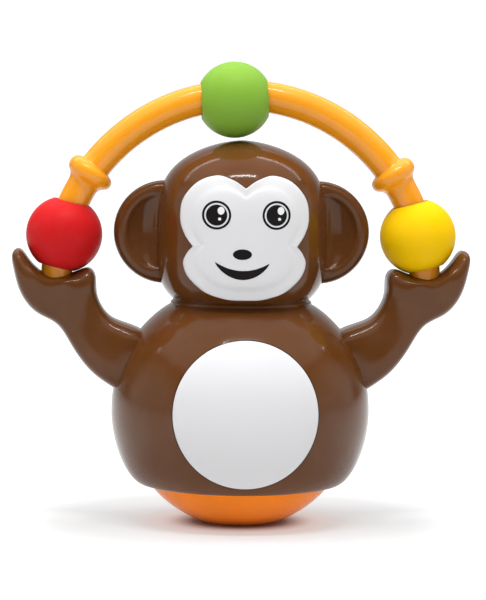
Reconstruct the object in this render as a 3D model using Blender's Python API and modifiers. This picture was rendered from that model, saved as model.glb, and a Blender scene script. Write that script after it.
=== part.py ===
"""Round-bottomed wobble toy: a moulded monkey that holds an arch of sliding balls.

Metres, +Z up, front towards -Y, origin at the middle of the flat foot.
Left means the side at -X, which is on the left of someone who looks at the face.
"""
import math

import bmesh
import bpy
from mathutils import Matrix, Vector

MM = 0.001

# Clearances and walls
GAP = 0.3 * MM
RUN_GAP = 0.35 * MM
SHELL_WALL = 2.0 * MM
PANEL_FLANGE = 1.4 * MM

# Dome base and its ballast
DOME_RADIUS = 48.7 * MM
FOOT_RADIUS = 15.0 * MM
DOME_WALL = 2.6 * MM
DOME_FLANGE_HEIGHT = 2.4 * MM
BALLAST_HEIGHT = 21.0 * MM
BALLAST_POST_CIRCLE = 18.0 * MM
BALLAST_POST_RADIUS = 3.6 * MM
BALLAST_POST_SHORTFALL = 1.0 * MM
BALLAST_SCREWS = 3

# Body shell
BODY_RIM_Z = 16.5 * MM
BODY_RIM_LIP = 3.4 * MM
BODY_WAIST_Z = 46.8 * MM
BODY_WAIST_RADIUS = 54.6 * MM
BODY_TOP_Z = 93.2 * MM
BODY_NECK_RADIUS = 27.9 * MM
BODY_UPPER_POWERS = (2.2, 0.80)
BODY_LOWER_POWERS = (1.8, 0.62)
BELLY_Z = 50.1 * MM
BELLY_HALF_WIDTH = 29.7 * MM
BELLY_HALF_HEIGHT = 30.2 * MM
BELLY_PROUD = 0.5 * MM

# Head shell
NECK_GAP = 0.8 * MM
HEAD_FLOOR_RADIUS = 28.2 * MM
HEAD_MIDDLE_RISE = 23.4 * MM
HEAD_RADIUS = 35.9 * MM
HEAD_CROWN_RISE = 43.9 * MM
HEAD_UPPER_POWERS = (4.0, 0.62)
HEAD_LOWER_POWERS = (3.5, 1.0)
FACE_PROUD = 0.7 * MM
FACE_CHIN_RADIUS = 32.6 * MM
FACE_CENTRE_RISE = 27.4 * MM
FACE_HALF_WIDTH = 26.6 * MM
FACE_HALF_HEIGHT = 25.5 * MM

# Face outline, half of it, as shares of its half width and half height, from the top notch down
FACE_OUTLINE = (
    (0.00, 0.80),
    (0.21, 0.94),
    (0.48, 1.00),
    (0.90, 0.72),
    (1.00, 0.33),
    (0.94, 0.07),
    (0.81, -0.14),
    (0.90, -0.26),
    (0.95, -0.44),
    (0.72, -0.80),
    (0.36, -0.97),
    (0.00, -1.00),
)
FACE_NOTCHES = (0, 6)

# Ears
EAR_RADIUS = 21.7 * MM
EAR_RIM = 3.4 * MM
EAR_THICKNESS = 9.0 * MM
EAR_DISH = 4.0 * MM
EAR_BOWL_WIDTHS = (2.4, 1.0)
EAR_BOWL_DEPTHS = (0.9, 0.3)
EAR_BALL_GAP = 5.5 * MM
EAR_RISE = 28.6 * MM
EAR_PEG_LIFT = 7.0 * MM
EAR_PEG_RADIUS = 3.0 * MM
EAR_PEG_FLANGE = 5.0 * MM

# Neck bobbin
BOBBIN_RADIUS = 8.0 * MM
BOBBIN_FLANGE_RADIUS = 14.0 * MM
BOBBIN_FLANGE_HEIGHT = 2.5 * MM

# Arch and balls
ARCH_RADIUS = 77.8 * MM
BALL_HEAD_GAP = 1.0 * MM
ROD_RADIUS = 6.5 * MM
ROD_BORE_RADIUS = 4.6 * MM
ROD_PLUG_DEPTH = 9.5 * MM
STOP_ANGLE = math.radians(55.0)
STOP_RADIUS = 10.1 * MM
STOP_WIDTH = 7.0 * MM
SOCKET_START = math.radians(70.0)
BALL_RADIUS = 16.0 * MM
BALL_WALL = 2.0 * MM
BALL_BORE_RADIUS = 7.6 * MM
BALL_BORE_FLARE = 0.9 * MM
SIDE_BALL_ANGLE = math.radians(75.8)
SIDE_BALL_DROP = 0.8 * MM
TOP_BALL_ANGLE = math.radians(-2.6)

# Stop ring along the rod, from its lower side: half widths from its middle and shares of its swell
STOP_FORM = ((1.5, 0.0), (0.9, 0.5), (0.45, 0.95), (-0.35, 1.0), (-0.85, 0.65), (-1.0, 0.0))
STOP_RUN_BELOW = 2.4
STOP_RUN_ABOVE = 2.0

# Arms: the shoulder's height on the body, its peg, and half depths along the limb
SHOULDER_Z = 70.0 * MM
SHOULDER_SPAN = 25.0 * MM
HAND_SPAN = 35.0 * MM
ARM_PEG_RADIUS = 6.0 * MM
ARM_PEG_FLANGE = 8.5 * MM
ARM_PEG_REACH = 8.0 * MM
ARM_CORE_RADIUS = 4.4 * MM
ARM_CORE_REACH = 14.0 * MM
SHOULDER_DEPTH = 15.0 * MM
FOREARM_DEPTH = 12.5 * MM
WRIST_DEPTH = 11.0 * MM
PALM_DEPTH = 13.0 * MM
PALM_FALL = 3.4 * MM
TIP_DEPTH = 10.0 * MM

# Screws: shank and head, and where the shells are screwed together, as x and z on the back
SHANK_RADIUS = 1.45 * MM
SCREW_HEAD_RADIUS = 3.0 * MM
SCREW_HEAD_HEIGHT = 2.2 * MM
SCREW_GRIP = 12.0 * MM
SCREW_SEAT = 10.0 * MM
SCREW_RECESS_SHARE = 0.45
SCREW_CROWN_SHARE = 0.7
SCREW_EDGE_SHARE = 0.5
BOSS_RADIUS = 4.2 * MM
BODY_SCREW_LOW = (31.0 * MM, 31.0 * MM)
BODY_SCREW_HIGH = (22.0 * MM, 81.0 * MM)
HEAD_SCREW_SIDE = (28.6 * MM, 25.0 * MM)
HEAD_SCREW_TOP_RISE = 58.0 * MM

# Facets round the turned pieces and steps along their curves
BODY_FACETS = 40
HOLLOW_FACETS = 24
BALL_FACETS = 20
SMALL_FACETS = 10
SCREW_FACETS = 8
CURVE_STEPS = 6
OVAL_STEPS = 8
BALL_STEPS = 8
BALL_HOLLOW_STEPS = 4
ROD_END_STEPS = 6
ROD_TOP_STEPS = 9
ROD_BORE_STEPS = 22
SOCKET_STEPS = 5
OUTLINE_STEPS = 4

# Merge distances
WELD = 0.002 * MM
POINT_MERGE = 0.005 * MM
TURN_MERGE = 0.01 * MM

# Sizes that follow from the ones above
DOME_CENTRE_Z = math.sqrt(DOME_RADIUS ** 2 - FOOT_RADIUS ** 2)
BODY_RIM_RADIUS = math.sqrt(DOME_RADIUS ** 2 - (DOME_CENTRE_Z - BODY_RIM_Z) ** 2) + BODY_RIM_LIP
LIP_TOP_Z = BODY_RIM_Z + SHELL_WALL
HEAD_FLOOR_Z = BODY_TOP_Z + NECK_GAP
HEAD_MIDDLE_Z = HEAD_FLOOR_Z + HEAD_MIDDLE_RISE
HEAD_TOP_Z = HEAD_MIDDLE_Z + HEAD_CROWN_RISE
DOME_TOP_Z = LIP_TOP_Z + GAP + DOME_FLANGE_HEIGHT
BALLAST_TOP_Z = DOME_WALL + GAP + BALLAST_HEIGHT
EAR_REACH = ARCH_RADIUS * math.sin(SIDE_BALL_ANGLE) - BALL_RADIUS - EAR_BALL_GAP
FAR = 2.0 * (HEAD_TOP_Z + ARCH_RADIUS)
BALL_INNER_RADIUS = BALL_RADIUS - BALL_WALL
BALL_MOUTH = math.sqrt(BALL_RADIUS ** 2 - BALL_BORE_RADIUS ** 2)
ROD_OUTSIDE = ARCH_RADIUS + ROD_RADIUS
ROD_FALL = ROD_OUTSIDE - math.sqrt(ROD_OUTSIDE ** 2 - BALL_MOUTH ** 2)
BORE_FLAT = BALL_BORE_RADIUS * math.cos(math.pi / BALL_FACETS)
HANG_DROP = BORE_FLAT - RUN_GAP - ROD_RADIUS + ROD_FALL
ARCH_Z = HEAD_TOP_Z + BALL_HEAD_GAP + BALL_RADIUS + HANG_DROP - ARCH_RADIUS


def remove_all_objects():
    """Start from an empty scene."""
    for thing in list(bpy.data.objects):
        bpy.data.objects.remove(thing, do_unlink=True)


def make_collection(name):
    """Return a new collection that is linked to the scene."""
    group = bpy.data.collections.new(name)
    bpy.context.scene.collection.children.link(group)
    return group


def make_material(name, colour, roughness, metallic=0.0):
    """Return a Principled material."""
    made = bpy.data.materials.new(name)
    made.use_nodes = True
    shader = made.node_tree.nodes["Principled BSDF"]
    shader.inputs["Base Color"].default_value = (*colour, 1.0)
    shader.inputs["Roughness"].default_value = roughness
    shader.inputs["Metallic"].default_value = metallic
    return made


remove_all_objects()
PARTS = make_collection("monkey_wobble_toy")
CUTTERS = make_collection("cutters")
BROWN = make_material("brown_gloss_plastic", (0.150, 0.060, 0.028), 0.22)
ORANGE = make_material("orange_gloss_plastic", (0.90, 0.30, 0.02), 0.25)
RED = make_material("red_matte_plastic", (0.73, 0.016, 0.019), 0.50)
GREEN = make_material("green_matte_plastic", (0.21, 0.47, 0.055), 0.50)
YELLOW = make_material("yellow_matte_plastic", (1.0, 0.66, 0.004), 0.50)
WHITE = make_material("white_satin_plastic", (0.80, 0.79, 0.80), 0.35)
IRON = make_material("cast_iron", (0.08, 0.08, 0.085), 0.60, 1.0)
STEEL = make_material("screw_steel", (0.60, 0.60, 0.62), 0.35, 1.0)
NYLON = make_material("natural_nylon", (0.75, 0.73, 0.68), 0.45)


def place_object(name, mesh, material):
    """Link a mesh as a part, or as a hidden cutter where it has no material."""
    thing = bpy.data.objects.new(name, mesh)
    if material is None:
        CUTTERS.objects.link(thing)
        thing.hide_render = True
        thing.display_type = "WIRE"
    else:
        mesh.materials.append(material)
        PARTS.objects.link(thing)
    return thing


def turned(name, profile, material=None, facets=BODY_FACETS):
    """Turn a closed (radius, height) profile about Z; it runs down the outer side first."""
    mesh = bpy.data.meshes.new(name)
    points = [(radius, 0.0, height) for radius, height in profile]
    edges = [(i, i + 1) for i in range(len(points) - 1)]
    if profile[0][0] > 0.0:
        edges.append((len(points) - 1, 0))
    mesh.from_pydata(points, edges, [])
    thing = place_object(name, mesh, material)
    thing.rotation_euler = (0.0, 0.0, math.pi / facets)
    screw = thing.modifiers.new("turn", "SCREW")
    screw.axis = "Z"
    screw.angle = math.tau
    screw.steps = facets
    screw.render_steps = facets
    screw.use_merge_vertices = True
    screw.merge_threshold = TURN_MERGE
    screw.use_smooth_shade = True
    return thing


def aim(thing, point, direction):
    """Put a turned piece at a point with its own Z along a direction."""
    turn = Vector(direction).to_track_quat("Z", "Y").to_matrix().to_4x4()
    spin = Matrix.Rotation(math.pi / 2.0, 4, "Z")
    thing.rotation_mode = "QUATERNION"
    thing.matrix_world = Matrix.Translation(point) @ turn @ spin
    return thing


def cut(thing, cutter, operation="DIFFERENCE"):
    """Add an exact Boolean."""
    boolean = thing.modifiers.new(operation.lower(), "BOOLEAN")
    boolean.operation = operation
    boolean.solver = "EXACT"
    boolean.object = cutter
    return thing


def half_space(name, side):
    """Box that keeps the front (-1) or the back (+1) of a shell, half a gap from the split."""
    mesh = bpy.data.meshes.new(name)
    form = bmesh.new()
    bmesh.ops.create_cube(form, size=2.0 * FAR)
    bmesh.ops.translate(form, verts=form.verts, vec=(0.0, side * (FAR + GAP / 2.0), 0.0))
    form.to_mesh(mesh)
    form.free()
    return place_object(name, mesh, None)


def cylinder_profile(radius, top, bottom):
    """Closed profile of a plain round bar."""
    return [(0.0, top), (radius, top), (radius, bottom), (0.0, bottom)]


def flat_prism(name, half_outline, notches, grow, near, far):
    """Prism along Y over an outline mirrored about X = 0, smooth but for its notches, and grown."""
    whole = list(half_outline) + [(-x, z) for x, z in reversed(half_outline[1:-1])]
    corners = set(notches) | {len(whole) - i for i in notches}
    curve = bpy.data.curves.new(name, "CURVE")
    curve.dimensions = "2D"
    curve.fill_mode = "BOTH"
    curve.extrude = abs(far - near) / 2.0
    curve.offset = grow
    curve.resolution_u = OUTLINE_STEPS
    spline = curve.splines.new("BEZIER")
    spline.bezier_points.add(len(whole) - 1)
    for i, (knot, (x, z)) in enumerate(zip(spline.bezier_points, whole)):
        knot.co = (x, z, 0.0)
        knot.handle_left_type = "VECTOR" if i in corners else "AUTO"
        knot.handle_right_type = knot.handle_left_type
    spline.use_cyclic_u = True
    place = Matrix.Translation((0.0, (near + far) / 2.0, 0.0)) @ Matrix.Rotation(math.pi / 2.0, 4, "X")
    return mesh_from_curve(name, curve, place, None)


def mesh_from_curve(name, curve, place, material):
    """Make a curve a closed mesh object at a place."""
    guide = bpy.data.objects.new(name + "_guide", curve)
    CUTTERS.objects.link(guide)
    guide.matrix_world = place
    bpy.context.view_layer.update()
    ready = guide.evaluated_get(bpy.context.evaluated_depsgraph_get())
    mesh = bpy.data.meshes.new_from_object(ready)
    form = bmesh.new()
    form.from_mesh(mesh)
    bmesh.ops.remove_doubles(form, verts=form.verts, dist=POINT_MERGE)
    bmesh.ops.recalc_face_normals(form, faces=form.faces)
    form.to_mesh(mesh)
    form.free()
    mesh.materials.clear()
    mesh.shade_smooth()
    thing = place_object(name, mesh, material)
    thing.matrix_world = place
    bpy.data.objects.remove(guide, do_unlink=True)
    return thing


def arch_point(angle, radius=ARCH_RADIUS):
    """Point on the arch's circle, at an angle from its top towards +X."""
    return Vector((radius * math.sin(angle), 0.0, ARCH_Z + radius * math.cos(angle)))


def arch_tube(name, stations, radius, material=None, roundness=3):
    """Tube along the arch through (angle, share of its radius) stations."""
    curve = bpy.data.curves.new(name, "CURVE")
    curve.dimensions = "3D"
    curve.bevel_depth = radius
    curve.bevel_resolution = roundness
    curve.use_fill_caps = True
    spline = curve.splines.new("POLY")
    spline.points.add(len(stations) - 1)
    for knot, (angle, share) in zip(spline.points, stations):
        knot.co = (*arch_point(angle), 1.0)
        knot.radius = share
    return mesh_from_curve(name, curve, Matrix.Identity(4), material)


def spread(start, end, steps):
    """Evenly spaced values from start to end."""
    return [start + (end - start) * i / steps for i in range(steps + 1)]


def bulge(share, powers):
    """Falls from 1 to 0 as share goes from 0 to 1, like a quarter of a rounded box."""
    return max(0.0, 1.0 - share ** powers[0]) ** powers[1]


def body_radius(height):
    """Outer radius of the body at a height."""
    if height >= BODY_WAIST_Z:
        share = min(1.0, (height - BODY_WAIST_Z) / (BODY_TOP_Z - BODY_WAIST_Z))
        return BODY_NECK_RADIUS + (BODY_WAIST_RADIUS - BODY_NECK_RADIUS) * bulge(share, BODY_UPPER_POWERS)
    share = min(1.0, (BODY_WAIST_Z - height) / (BODY_WAIST_Z - BODY_RIM_Z))
    return BODY_RIM_RADIUS + (BODY_WAIST_RADIUS - BODY_RIM_RADIUS) * bulge(share, BODY_LOWER_POWERS)


def head_radius(height):
    """Outer radius of the head at a height."""
    if height >= HEAD_MIDDLE_Z:
        share = min(1.0, (height - HEAD_MIDDLE_Z) / HEAD_CROWN_RISE)
        return HEAD_RADIUS * bulge(share, HEAD_UPPER_POWERS)
    share = min(1.0, (HEAD_MIDDLE_Z - height) / HEAD_MIDDLE_RISE)
    return HEAD_FLOOR_RADIUS + (HEAD_RADIUS - HEAD_FLOOR_RADIUS) * bulge(share, HEAD_LOWER_POWERS)


def face_radius(height):
    """Radius of the face's front at a height: the head's, but fuller towards the chin."""
    share = max(0.0, (HEAD_MIDDLE_Z - height) / HEAD_MIDDLE_RISE)
    return head_radius(height) + (FACE_CHIN_RADIUS - HEAD_FLOOR_RADIUS) * share ** HEAD_LOWER_POWERS[0]


def side_curve(radius_at, top, middle, bottom):
    """Points down a side, closer together near its top and bottom edges."""
    ease = [math.sin(turn) for turn in spread(0.0, math.pi / 2.0, CURVE_STEPS)]
    heights = [middle + (top - middle) * share for share in reversed(ease)]
    heights += [middle + (bottom - middle) * share for share in ease[1:]]
    return [(radius_at(height), height) for height in heights]


def offset_curve(points, distance):
    """Move a side curve outwards along its normals, or inwards where distance is negative."""
    moved = []
    for i, (radius, height) in enumerate(points):
        above = points[max(i - 1, 0)]
        below = points[min(i + 1, len(points) - 1)]
        along = Vector((below[0] - above[0], below[1] - above[1])).normalized()
        moved.append((max(0.0, radius - along.y * distance), height + along.x * distance))
    return moved


def solid_of(name, points, top, bottom, facets=BODY_FACETS):
    """Cutter turned from a side curve kept between two heights, with flat ends."""
    inside = [(radius, height) for radius, height in points if bottom < height < top and radius > GAP]
    ends = [(inside[0][0], top)] + inside + [(inside[-1][0], bottom)]
    return turned(name, [(0.0, top)] + ends + [(0.0, bottom)], None, facets)


BODY_CURVE = side_curve(body_radius, BODY_TOP_Z, BODY_WAIST_Z, BODY_RIM_Z)
HEAD_CURVE = side_curve(head_radius, HEAD_TOP_Z, HEAD_MIDDLE_Z, HEAD_FLOOR_Z)
FACE_CURVE = side_curve(face_radius, HEAD_TOP_Z, HEAD_MIDDLE_Z, HEAD_FLOOR_Z)
FRONT = half_space("front_half", -1.0)
BACK = half_space("back_half", 1.0)


def pivot(name, height):
    """Empty on a joint's axis."""
    empty = bpy.data.objects.new(name, None)
    empty.location = (0.0, 0.0, height)
    PARTS.objects.link(empty)
    return empty


def carry(thing, empty):
    """Parent a piece to a pivot and leave it where it is."""
    bpy.context.view_layer.update()
    thing.parent = empty
    thing.matrix_parent_inverse = empty.matrix_world.inverted()


def outside_of(name, points, top, bottom):
    """Full outer form of a shell, as a part's own mesh before it is hollowed."""
    profile = [(0.0, top)] + points + [(0.0, bottom)]
    return turned(name, profile, BROWN)


def dome_arc(radius, low, high, steps):
    """Points down a sphere about the dome's centre, from a high to a low level."""
    return [(math.sqrt(max(0.0, radius ** 2 - (DOME_CENTRE_Z - height) ** 2)), height)
            for height in spread(high, low, steps)]


def body_inside_radius(height):
    """Radius of the body's hollow at a height."""
    curve = offset_curve(BODY_CURVE, -SHELL_WALL)
    for upper, lower in zip(curve, curve[1:]):
        if lower[1] <= height <= upper[1]:
            share = (height - lower[1]) / (upper[1] - lower[1])
            return lower[0] + (upper[0] - lower[0]) * share
    return curve[-1][0]


def dome_flange_radius():
    """Outer radius of the dome's flange, inside the body's hollow."""
    return body_inside_radius(LIP_TOP_Z + GAP) - 3.0 * GAP


def post_places():
    """Places of the ballast posts round the dome."""
    turns = [math.radians(90.0) + math.tau * i / BALLAST_SCREWS for i in range(BALLAST_SCREWS)]
    return [(BALLAST_POST_CIRCLE * math.cos(turn), BALLAST_POST_CIRCLE * math.sin(turn)) for turn in turns]


def screw(name, length, point, direction):
    """Pan-head screw whose seat is at a point and whose shank runs against a direction."""
    socket = SCREW_HEAD_RADIUS * SCREW_RECESS_SHARE
    edge = SCREW_HEAD_HEIGHT * SCREW_EDGE_SHARE
    profile = [
        (0.0, edge),
        (socket, edge),
        (socket, SCREW_HEAD_HEIGHT),
        (SCREW_HEAD_RADIUS * SCREW_CROWN_SHARE, SCREW_HEAD_HEIGHT),
        (SCREW_HEAD_RADIUS, edge),
        (SCREW_HEAD_RADIUS, 0.0),
        (SHANK_RADIUS, 0.0),
        (SHANK_RADIUS, -length + SHANK_RADIUS),
        (0.0, -length),
    ]
    return aim(turned(name, profile, STEEL, SCREW_FACETS), point, direction)


def screw_hole(name, length, head_room, point, direction):
    """Stepped hole for a screw: a narrow shank hole and a wide way in for its head."""
    wide = SCREW_HEAD_RADIUS + GAP
    narrow = SHANK_RADIUS + GAP
    profile = [(0.0, head_room), (wide, head_room), (wide, -GAP), (narrow, -GAP)]
    profile += [(narrow, -length - GAP), (0.0, -length - GAP)]
    return aim(turned(name, profile, None, SCREW_FACETS), point, direction)


def make_dome():
    """Orange dome with its trapped flange and three ballast posts."""
    flange_low = LIP_TOP_Z + GAP
    flange_radius = dome_flange_radius()
    outside = dome_arc(DOME_RADIUS, 0.0, flange_low, CURVE_STEPS)
    profile = [(0.0, DOME_TOP_Z), (flange_radius, DOME_TOP_Z), (flange_radius, flange_low)]
    dome = turned("base_dome", profile + outside + [(0.0, 0.0)], ORANGE)
    inner = DOME_RADIUS - DOME_WALL
    hollow = dome_arc(inner, DOME_WALL, DOME_TOP_Z + GAP, CURVE_STEPS)
    bowl = [(0.0, DOME_TOP_Z + GAP)] + hollow + [(0.0, DOME_WALL)]
    cavity = turned("dome_cavity", bowl, None, HOLLOW_FACETS)
    post_top = BALLAST_TOP_Z - BALLAST_POST_SHORTFALL
    for i, (x, y) in enumerate(post_places(), start=1):
        bar = cylinder_profile(BALLAST_POST_RADIUS, post_top, -DOME_WALL)
        post = aim(turned(f"post_{i}", bar, None, SMALL_FACETS), (x, y, 0.0), (0.0, 0.0, 1.0))
        cut(cavity, post)
    cut(dome, cavity)
    length = BALLAST_TOP_Z - 2.0 * DOME_WALL
    for i, (x, y) in enumerate(post_places(), start=1):
        seat = (x, y, BALLAST_TOP_Z + GAP)
        cut(dome, screw_hole(f"post_hole_{i}", length, SCREW_HEAD_HEIGHT, seat, (0.0, 0.0, 1.0)))
        screw(f"ballast_screw_{i}", length, seat, (0.0, 0.0, 1.0))


def make_ballast():
    """Cast weight that fills the bowl of the dome, with a hole round each post."""
    low = DOME_WALL + GAP
    curve = dome_arc(DOME_RADIUS - DOME_WALL - 2.0 * GAP, low, BALLAST_TOP_Z, CURVE_STEPS)
    profile = [(0.0, BALLAST_TOP_Z)] + curve + [(0.0, low)]
    weight = turned("ballast_weight", profile, IRON, HOLLOW_FACETS)
    wide = BALLAST_POST_RADIUS + GAP
    narrow = SHANK_RADIUS + GAP
    post_top = BALLAST_TOP_Z - BALLAST_POST_SHORTFALL + GAP
    for i, (x, y) in enumerate(post_places(), start=1):
        bar = [(0.0, BALLAST_TOP_Z + GAP), (narrow, BALLAST_TOP_Z + GAP), (narrow, post_top)]
        bar += [(wide, post_top), (wide, 0.0), (0.0, 0.0)]
        hole = turned(f"ballast_hole_{i}", bar, None, SMALL_FACETS)
        cut(weight, aim(hole, (x, y, 0.0), (0.0, 0.0, 1.0)))


def body_screw_places():
    """Places of the body's screws on its back, as x and z."""
    return [(side * x, z) for x, z in (BODY_SCREW_HIGH, BODY_SCREW_LOW) for side in (-1.0, 1.0)]


def head_screw_places():
    """Places of the head's screws on its back, as x and z."""
    reach, rise = HEAD_SCREW_SIDE
    sides = [(side * reach, HEAD_FLOOR_Z + rise) for side in (-1.0, 1.0)]
    return sides + [(0.0, HEAD_FLOOR_Z + HEAD_SCREW_TOP_RISE)]


def hollow_shell(prefix, curve, top, bottom, places, ends):
    """Two halves of a turned shell, with a boss and a stepped hole for each screw."""
    ceiling, floor = ends
    inside = offset_curve(curve, -SHELL_WALL)
    cavity = solid_of(prefix + "_cavity", inside, ceiling, floor, HOLLOW_FACETS)
    for i, (x, z) in enumerate(places, start=1):
        bar = cylinder_profile(BOSS_RADIUS, FAR, -FAR)
        boss = turned(f"{prefix}_boss_{i}", bar, None, SMALL_FACETS)
        cut(cavity, aim(boss, (x, 0.0, z), (0.0, 1.0, 0.0)))
    halves = [outside_of(f"{prefix}_{end}_shell", curve, top, bottom) for end in ("front", "rear")]
    length = SCREW_SEAT + SCREW_GRIP
    for half in halves:
        cut(half, cavity)
    for i, (x, z) in enumerate(places, start=1):
        seat = (x, SCREW_SEAT, z)
        hole = screw_hole(f"{prefix}_hole_{i}", length, FAR, seat, (0.0, 1.0, 0.0))
        for half in halves:
            cut(half, hole)
        screw(f"{prefix}_screw_{i}", length - GAP, (x, SCREW_SEAT + GAP, z), (0.0, 1.0, 0.0))
    return halves


def peg_profile(radius, flange, inner, outer):
    """Peg with a flange at its inner end."""
    low = inner - SHELL_WALL
    return [(0.0, outer), (radius, outer), (radius, inner), (flange, inner), (flange, low), (0.0, low)]


def wall_seat(radius_at, height, side):
    """Point on a shell's side where a peg goes in, and the wall's outward direction there."""
    slope = (radius_at(height + MM) - radius_at(height - MM)) / (2.0 * MM)
    return Vector((side * radius_at(height), 0.0, height)), Vector((side, 0.0, -slope)).normalized()


def shoulder(side):
    """Where an arm springs from the body."""
    return wall_seat(body_radius, SHOULDER_Z, side)


def ear_seat(side):
    """Where an ear's peg goes into the head."""
    return wall_seat(head_radius, HEAD_FLOOR_Z + EAR_RISE + EAR_PEG_LIFT, side)


def inset_panel(name, outlines, curve, front):
    """Panel let into a shell: a plug through the wall to its front curve and a flange behind it."""
    plug, flange = outlines
    back = SHELL_WALL + GAP
    top = curve[0][1] + FAR
    bottom = curve[-1][1] - FAR
    skin = solid_of(name + "_skin", front, top, bottom)
    ends = (curve[0][1] - back, curve[-1][1] + back)
    seat = solid_of(name + "_seat", offset_curve(curve, -back), *ends, HOLLOW_FACETS)
    core = solid_of(name + "_core", offset_curve(curve, -back - PANEL_FLANGE), top, bottom, HOLLOW_FACETS)
    panel = place_object(name, plug.data, WHITE)
    panel.matrix_world = plug.matrix_world
    cut(panel, skin, "INTERSECT")
    cut(flange, seat, "INTERSECT")
    cut(panel, flange, "UNION")
    cut(panel, core)
    return panel


def belly_outline():
    """Half outline of the oval belly, from its top down."""
    turns = spread(0.0, math.pi, OVAL_STEPS)
    return [(BELLY_HALF_WIDTH * math.sin(turn), BELLY_Z + BELLY_HALF_HEIGHT * math.cos(turn))
            for turn in turns]


def face_outline():
    """Half outline of the face, from its top notch down."""
    centre = HEAD_FLOOR_Z + FACE_CENTRE_RISE
    return [(x * FACE_HALF_WIDTH, centre + z * FACE_HALF_HEIGHT) for x, z in FACE_OUTLINE]


def panel_prisms(prefix, outline, notches, nearest):
    """Plug, flange and opening prisms over one outline, in front of a nearest depth."""
    growths = (("plug", 0.0), ("flange", PANEL_FLANGE), ("opening", GAP))
    return [flat_prism(f"{prefix}_{use}", outline, notches, grow, -FAR, nearest) for use, grow in growths]


def make_body():
    """Body halves, their screws and the belly disc."""
    ends = (BODY_TOP_Z - SHELL_WALL, LIP_TOP_Z)
    halves = hollow_shell("body", BODY_CURVE, BODY_TOP_Z, BODY_RIM_Z, body_screw_places(), ends)
    plug, flange, opening = panel_prisms("belly", belly_outline(), (), -FOOT_RADIUS)
    belly = inset_panel("belly_disc", (plug, flange), BODY_CURVE, offset_curve(BODY_CURVE, BELLY_PROUD))
    dome_room = cylinder_profile(dome_flange_radius() + GAP, DOME_TOP_Z + GAP, 0.0)
    cut(belly, turned("dome_room", dome_room))
    cut(halves[0], opening)
    way = dome_arc(DOME_RADIUS + GAP, BODY_RIM_Z - SHELL_WALL, LIP_TOP_Z + GAP, CURVE_STEPS)
    dome_way = turned("dome_way", [(0.0, way[0][1])] + way + [(0.0, way[-1][1])])
    neck = cylinder_profile(BOBBIN_RADIUS + RUN_GAP, BODY_TOP_Z + NECK_GAP, BODY_TOP_Z - 2.0 * SHELL_WALL)
    neck_way = turned("body_neck_way", neck, None, BALL_FACETS)
    cutters = [dome_way, neck_way]
    for side, word in ((-1.0, "left"), (1.0, "right")):
        point, direction = shoulder(side)
        bar = cylinder_profile(ARM_PEG_RADIUS + GAP, ARM_PEG_REACH, -2.0 * ARM_PEG_REACH)
        cutters.append(aim(turned(f"{word}_arm_way", bar, None, SMALL_FACETS), point, direction))
    for half, keep in zip(halves, (FRONT, BACK)):
        for cutter in cutters:
            cut(half, cutter)
        cut(half, keep, "INTERSECT")


def limb_points():
    """Points of the right arm's side view: x and z as shares of a span, and half depth."""

    def by_shoulder(x, z, depth):
        return (body_radius(SHOULDER_Z) + x * SHOULDER_SPAN, SHOULDER_Z + z * SHOULDER_SPAN, depth)

    def by_palm(x, z, depth):
        return (ARCH_RADIUS + x * HAND_SPAN, ARCH_Z + z * HAND_SPAN, depth)

    return {
        "root_low": by_shoulder(-0.08, -0.68, SHOULDER_DEPTH),
        "root_mid": by_shoulder(-0.32, -0.16, SHOULDER_DEPTH),
        "root_top": by_shoulder(-0.56, 0.36, SHOULDER_DEPTH),
        "upper_low": by_shoulder(0.26, -0.46, SHOULDER_DEPTH),
        "upper_mid": by_shoulder(0.07, 0.04, SHOULDER_DEPTH),
        "upper_top": by_shoulder(-0.12, 0.55, SHOULDER_DEPTH),
        "elbow_low": by_shoulder(0.56, -0.26, FOREARM_DEPTH),
        "elbow_mid": by_shoulder(0.38, 0.22, FOREARM_DEPTH),
        "elbow_top": by_shoulder(0.18, 0.63, FOREARM_DEPTH),
        "fore_low": by_palm(-0.18, -0.81, WRIST_DEPTH),
        "fore_mid": by_palm(-0.34, -0.58, WRIST_DEPTH),
        "fore_top": by_palm(-0.55, -0.34, WRIST_DEPTH),
        "wrist_low": by_palm(-0.03, -0.50, WRIST_DEPTH),
        "wrist_mid": by_palm(-0.20, -0.31, WRIST_DEPTH),
        "wrist_top": by_palm(-0.47, -0.16, WRIST_DEPTH),
        "heel": by_palm(0.25, -0.43, PALM_DEPTH),
        "knuckle": by_palm(0.45, -0.17, PALM_DEPTH),
        "finger_back": by_palm(0.51, 0.11, PALM_DEPTH),
        "finger_end": by_palm(0.56, 0.33, TIP_DEPTH),
        "finger_tip": by_palm(0.43, 0.41, TIP_DEPTH),
        "finger_root": by_palm(0.33, 0.26, PALM_DEPTH),
        "palm_out": by_palm(0.19, 0.11, PALM_DEPTH),
        "palm_low": by_palm(0.06, 0.03, PALM_DEPTH),
        "palm_in": by_palm(-0.23, 0.08, PALM_DEPTH),
        "thumb_tip": by_palm(-0.38, 0.18, TIP_DEPTH),
        "thumb_back": by_palm(-0.49, 0.07, TIP_DEPTH),
    }


# How far the palm's edges fall below its middle, as shares of the palm's fall
PALM_FALLS = {"finger_root": 0.9, "palm_out": 1.0, "palm_low": 0.8, "palm_in": 0.5}

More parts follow.
